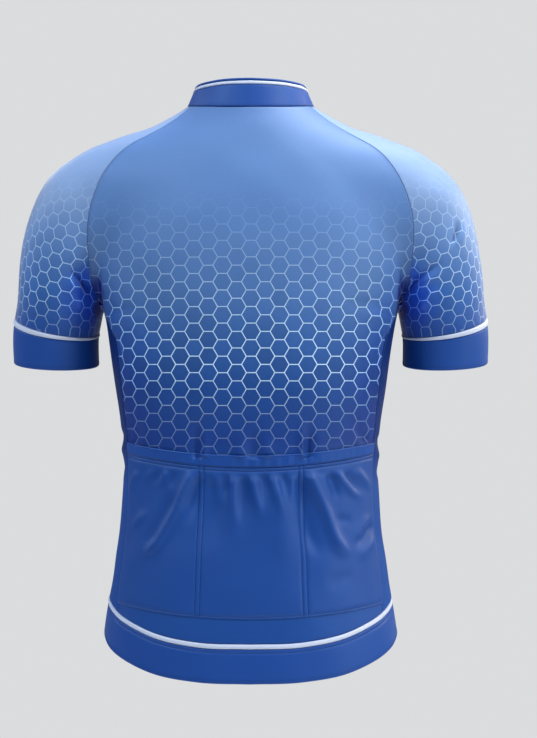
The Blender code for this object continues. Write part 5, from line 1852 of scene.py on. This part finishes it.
def make_jersey():
    lines = seams()
    back, front = back_cut(lines), front_cut(lines)
    side = side_cut(lines, back, front)
    make_back(back)
    for which in (1, -1):
        make_front(front, which)
        make_side(side, which)
        make_sleeve(armhole(lines), which)
    collar = collar_cuts()
    make_collar(collar)
    piping, band = hem_cuts(back, side, front)
    make_hem(piping, band)
    make_pockets(lines)
    make_seam_allowances(lines, back, front, side, piping, collar)
    edge = zip_edge(front, collar, piping, band)
    run, out = zip_run(edge)
    for which in (1, -1):
        make_zip_tape(run, out, which)
        make_zip_coil(run, out, which)
    make_slider(edge)


# ---- Stage
CAMERA_PLACE = (0.0213, -2.8, -0.312)
FOCAL_LENGTH_IN_PIXELS, FRAME_HEIGHT_IN_PIXELS, SENSOR = 2333.33, 738, 36.0
BACKDROP = (0.708, 0.716, 0.730)
SKY_COLOUR = (0.95, 0.98, 1.0)
SKY_RISE = (-0.3, 0.9)       # how far up the world's light starts to rise and is full: -1 is below
SKY_STRENGTH = (0.13, 0.40)  # its strength below and above that
# Softboxes: name, place, size, power in watts, colour. All are aimed at the chest.
SOFTBOXES = (
    ("key_right", (1.65, -1.2, 2.3), 0.9, 85, (1.0, 0.960, 0.885)),
    ("fill_left", (-1.6, -1.5, 1.7), 1.1, 56, (0.82, 0.93, 1.0)),
    ("side_right", (2.0, -1.15, -0.1), 1.3, 22, (1.0, 0.99, 0.97)),
    ("overhead", (0.8, 0.35, 1.8), 1.1, 66, (1.0, 0.99, 0.98)),
    ("rim_left", (-2.0, 0.35, 0.7), 0.9, 12, (0.92, 0.965, 1.0)),
    ("rim_right", (1.9, 0.80, 0.40), 0.9, 22, (1.0, 0.84, 0.58)),
)
AIM = (0.0, 0.0, -0.28)
FLOOR_HEIGHT, FLOOR_RADIUS, FLOOR_MIDDLE, FLOOR_SIDES = -1.25, 3.1, 0.05, 96
FLOOR_FADE = (1.6, 3.0)  # distances from the middle between which the floor melts into the backdrop


def make_camera():
    camera = bpy.data.cameras.new("camera")
    camera.lens = SENSOR * FOCAL_LENGTH_IN_PIXELS / FRAME_HEIGHT_IN_PIXELS
    camera.sensor_width = SENSOR
    holder = add_object("camera", camera)
    holder.location = CAMERA_PLACE
    holder.rotation_euler = (math.radians(90), 0, 0)
    bpy.context.scene.camera = holder


def make_world():
    """A pale studio: what the camera sees is even, and its light is stronger from above."""
    world = bpy.data.worlds.new("studio")
    world.use_nodes = True
    tree = world.node_tree
    seen = tree.nodes["Background"]
    feed(tree, seen, {"Color": (*BACKDROP, 1)})
    way = split(tree, put(tree, "ShaderNodeTexCoord")["Generated"])
    strength = ranged(tree, way[2], *SKY_RISE, *SKY_STRENGTH, **SMOOTH)
    lit = put(tree, "ShaderNodeBackground", {"Color": (*SKY_COLOUR, 1), "Strength": strength})[0]
    direct = put(tree, "ShaderNodeLightPath")["Is Camera Ray"]
    both = put(tree, "ShaderNodeMixShader", {0: direct, 1: lit, 2: seen.outputs[0]})[0]
    feed(tree, tree.nodes["World Output"], {"Surface": both})
    bpy.context.scene.world = world


def add_softbox(name, place, size, power, colour):
    light = bpy.data.lights.new(name, "AREA")
    light.shape = "DISK"
    light.size = size
    light.energy = power
    light.color = colour
    holder = add_object(name, light)
    holder.location = place
    away = np.array(AIM) - np.array(place)
    level_away = math.hypot(away[0], away[1])
    holder.rotation_euler = (math.atan2(level_away, -away[2]), 0, math.atan2(-away[0], away[1]))


def make_floor():
    """A pale round floor below the jersey that melts into the backdrop towards its edge."""
    tree, shader = new_material("pale_floor", roughness=0.8, specular=0.1)
    place = place_on_jersey(tree)
    patches = grain(tree, place, scale=3.0, detail=3.0)
    colour = mixed(tree, patches, (0.74, 0.75, 0.76, 1), (0.78, 0.785, 0.79, 1))
    feed(tree, shader, {"Base Color": colour,
                        "Alpha": ranged(tree, length_of(tree, place), *FLOOR_FADE, 1.0, 0.0, **SMOOTH)})
    turns = np.linspace(0, 2 * np.pi, FLOOR_SIDES, endpoint=False)
    rings = [np.column_stack([np.cos(turns) * radius, np.sin(turns) * radius, 0 * turns])
             for radius in (FLOOR_RADIUS, FLOOR_MIDDLE)]
    vertices, faces = lofted(rings)
    mesh = new_mesh("floor", vertices, faces[:len(turns)] + faces[-1:])
    mesh.materials.append(bpy.data.materials["pale_floor"])
    floor = add_object("floor", mesh)
    floor.location = (0, 0, FLOOR_HEIGHT)


def make_stage():
    make_camera()
    make_world()
    make_floor()
    for row in SOFTBOXES:
        add_softbox(*row)
    bpy.context.scene.view_settings.view_transform = "Standard"


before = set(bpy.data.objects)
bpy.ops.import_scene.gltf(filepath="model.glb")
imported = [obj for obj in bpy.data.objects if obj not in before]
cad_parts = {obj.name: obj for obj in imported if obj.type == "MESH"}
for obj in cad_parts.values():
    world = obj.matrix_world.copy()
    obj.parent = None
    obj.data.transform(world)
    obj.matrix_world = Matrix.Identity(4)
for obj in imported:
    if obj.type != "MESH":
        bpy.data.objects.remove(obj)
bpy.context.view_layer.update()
make_stage()
make_materials()
make_jersey()
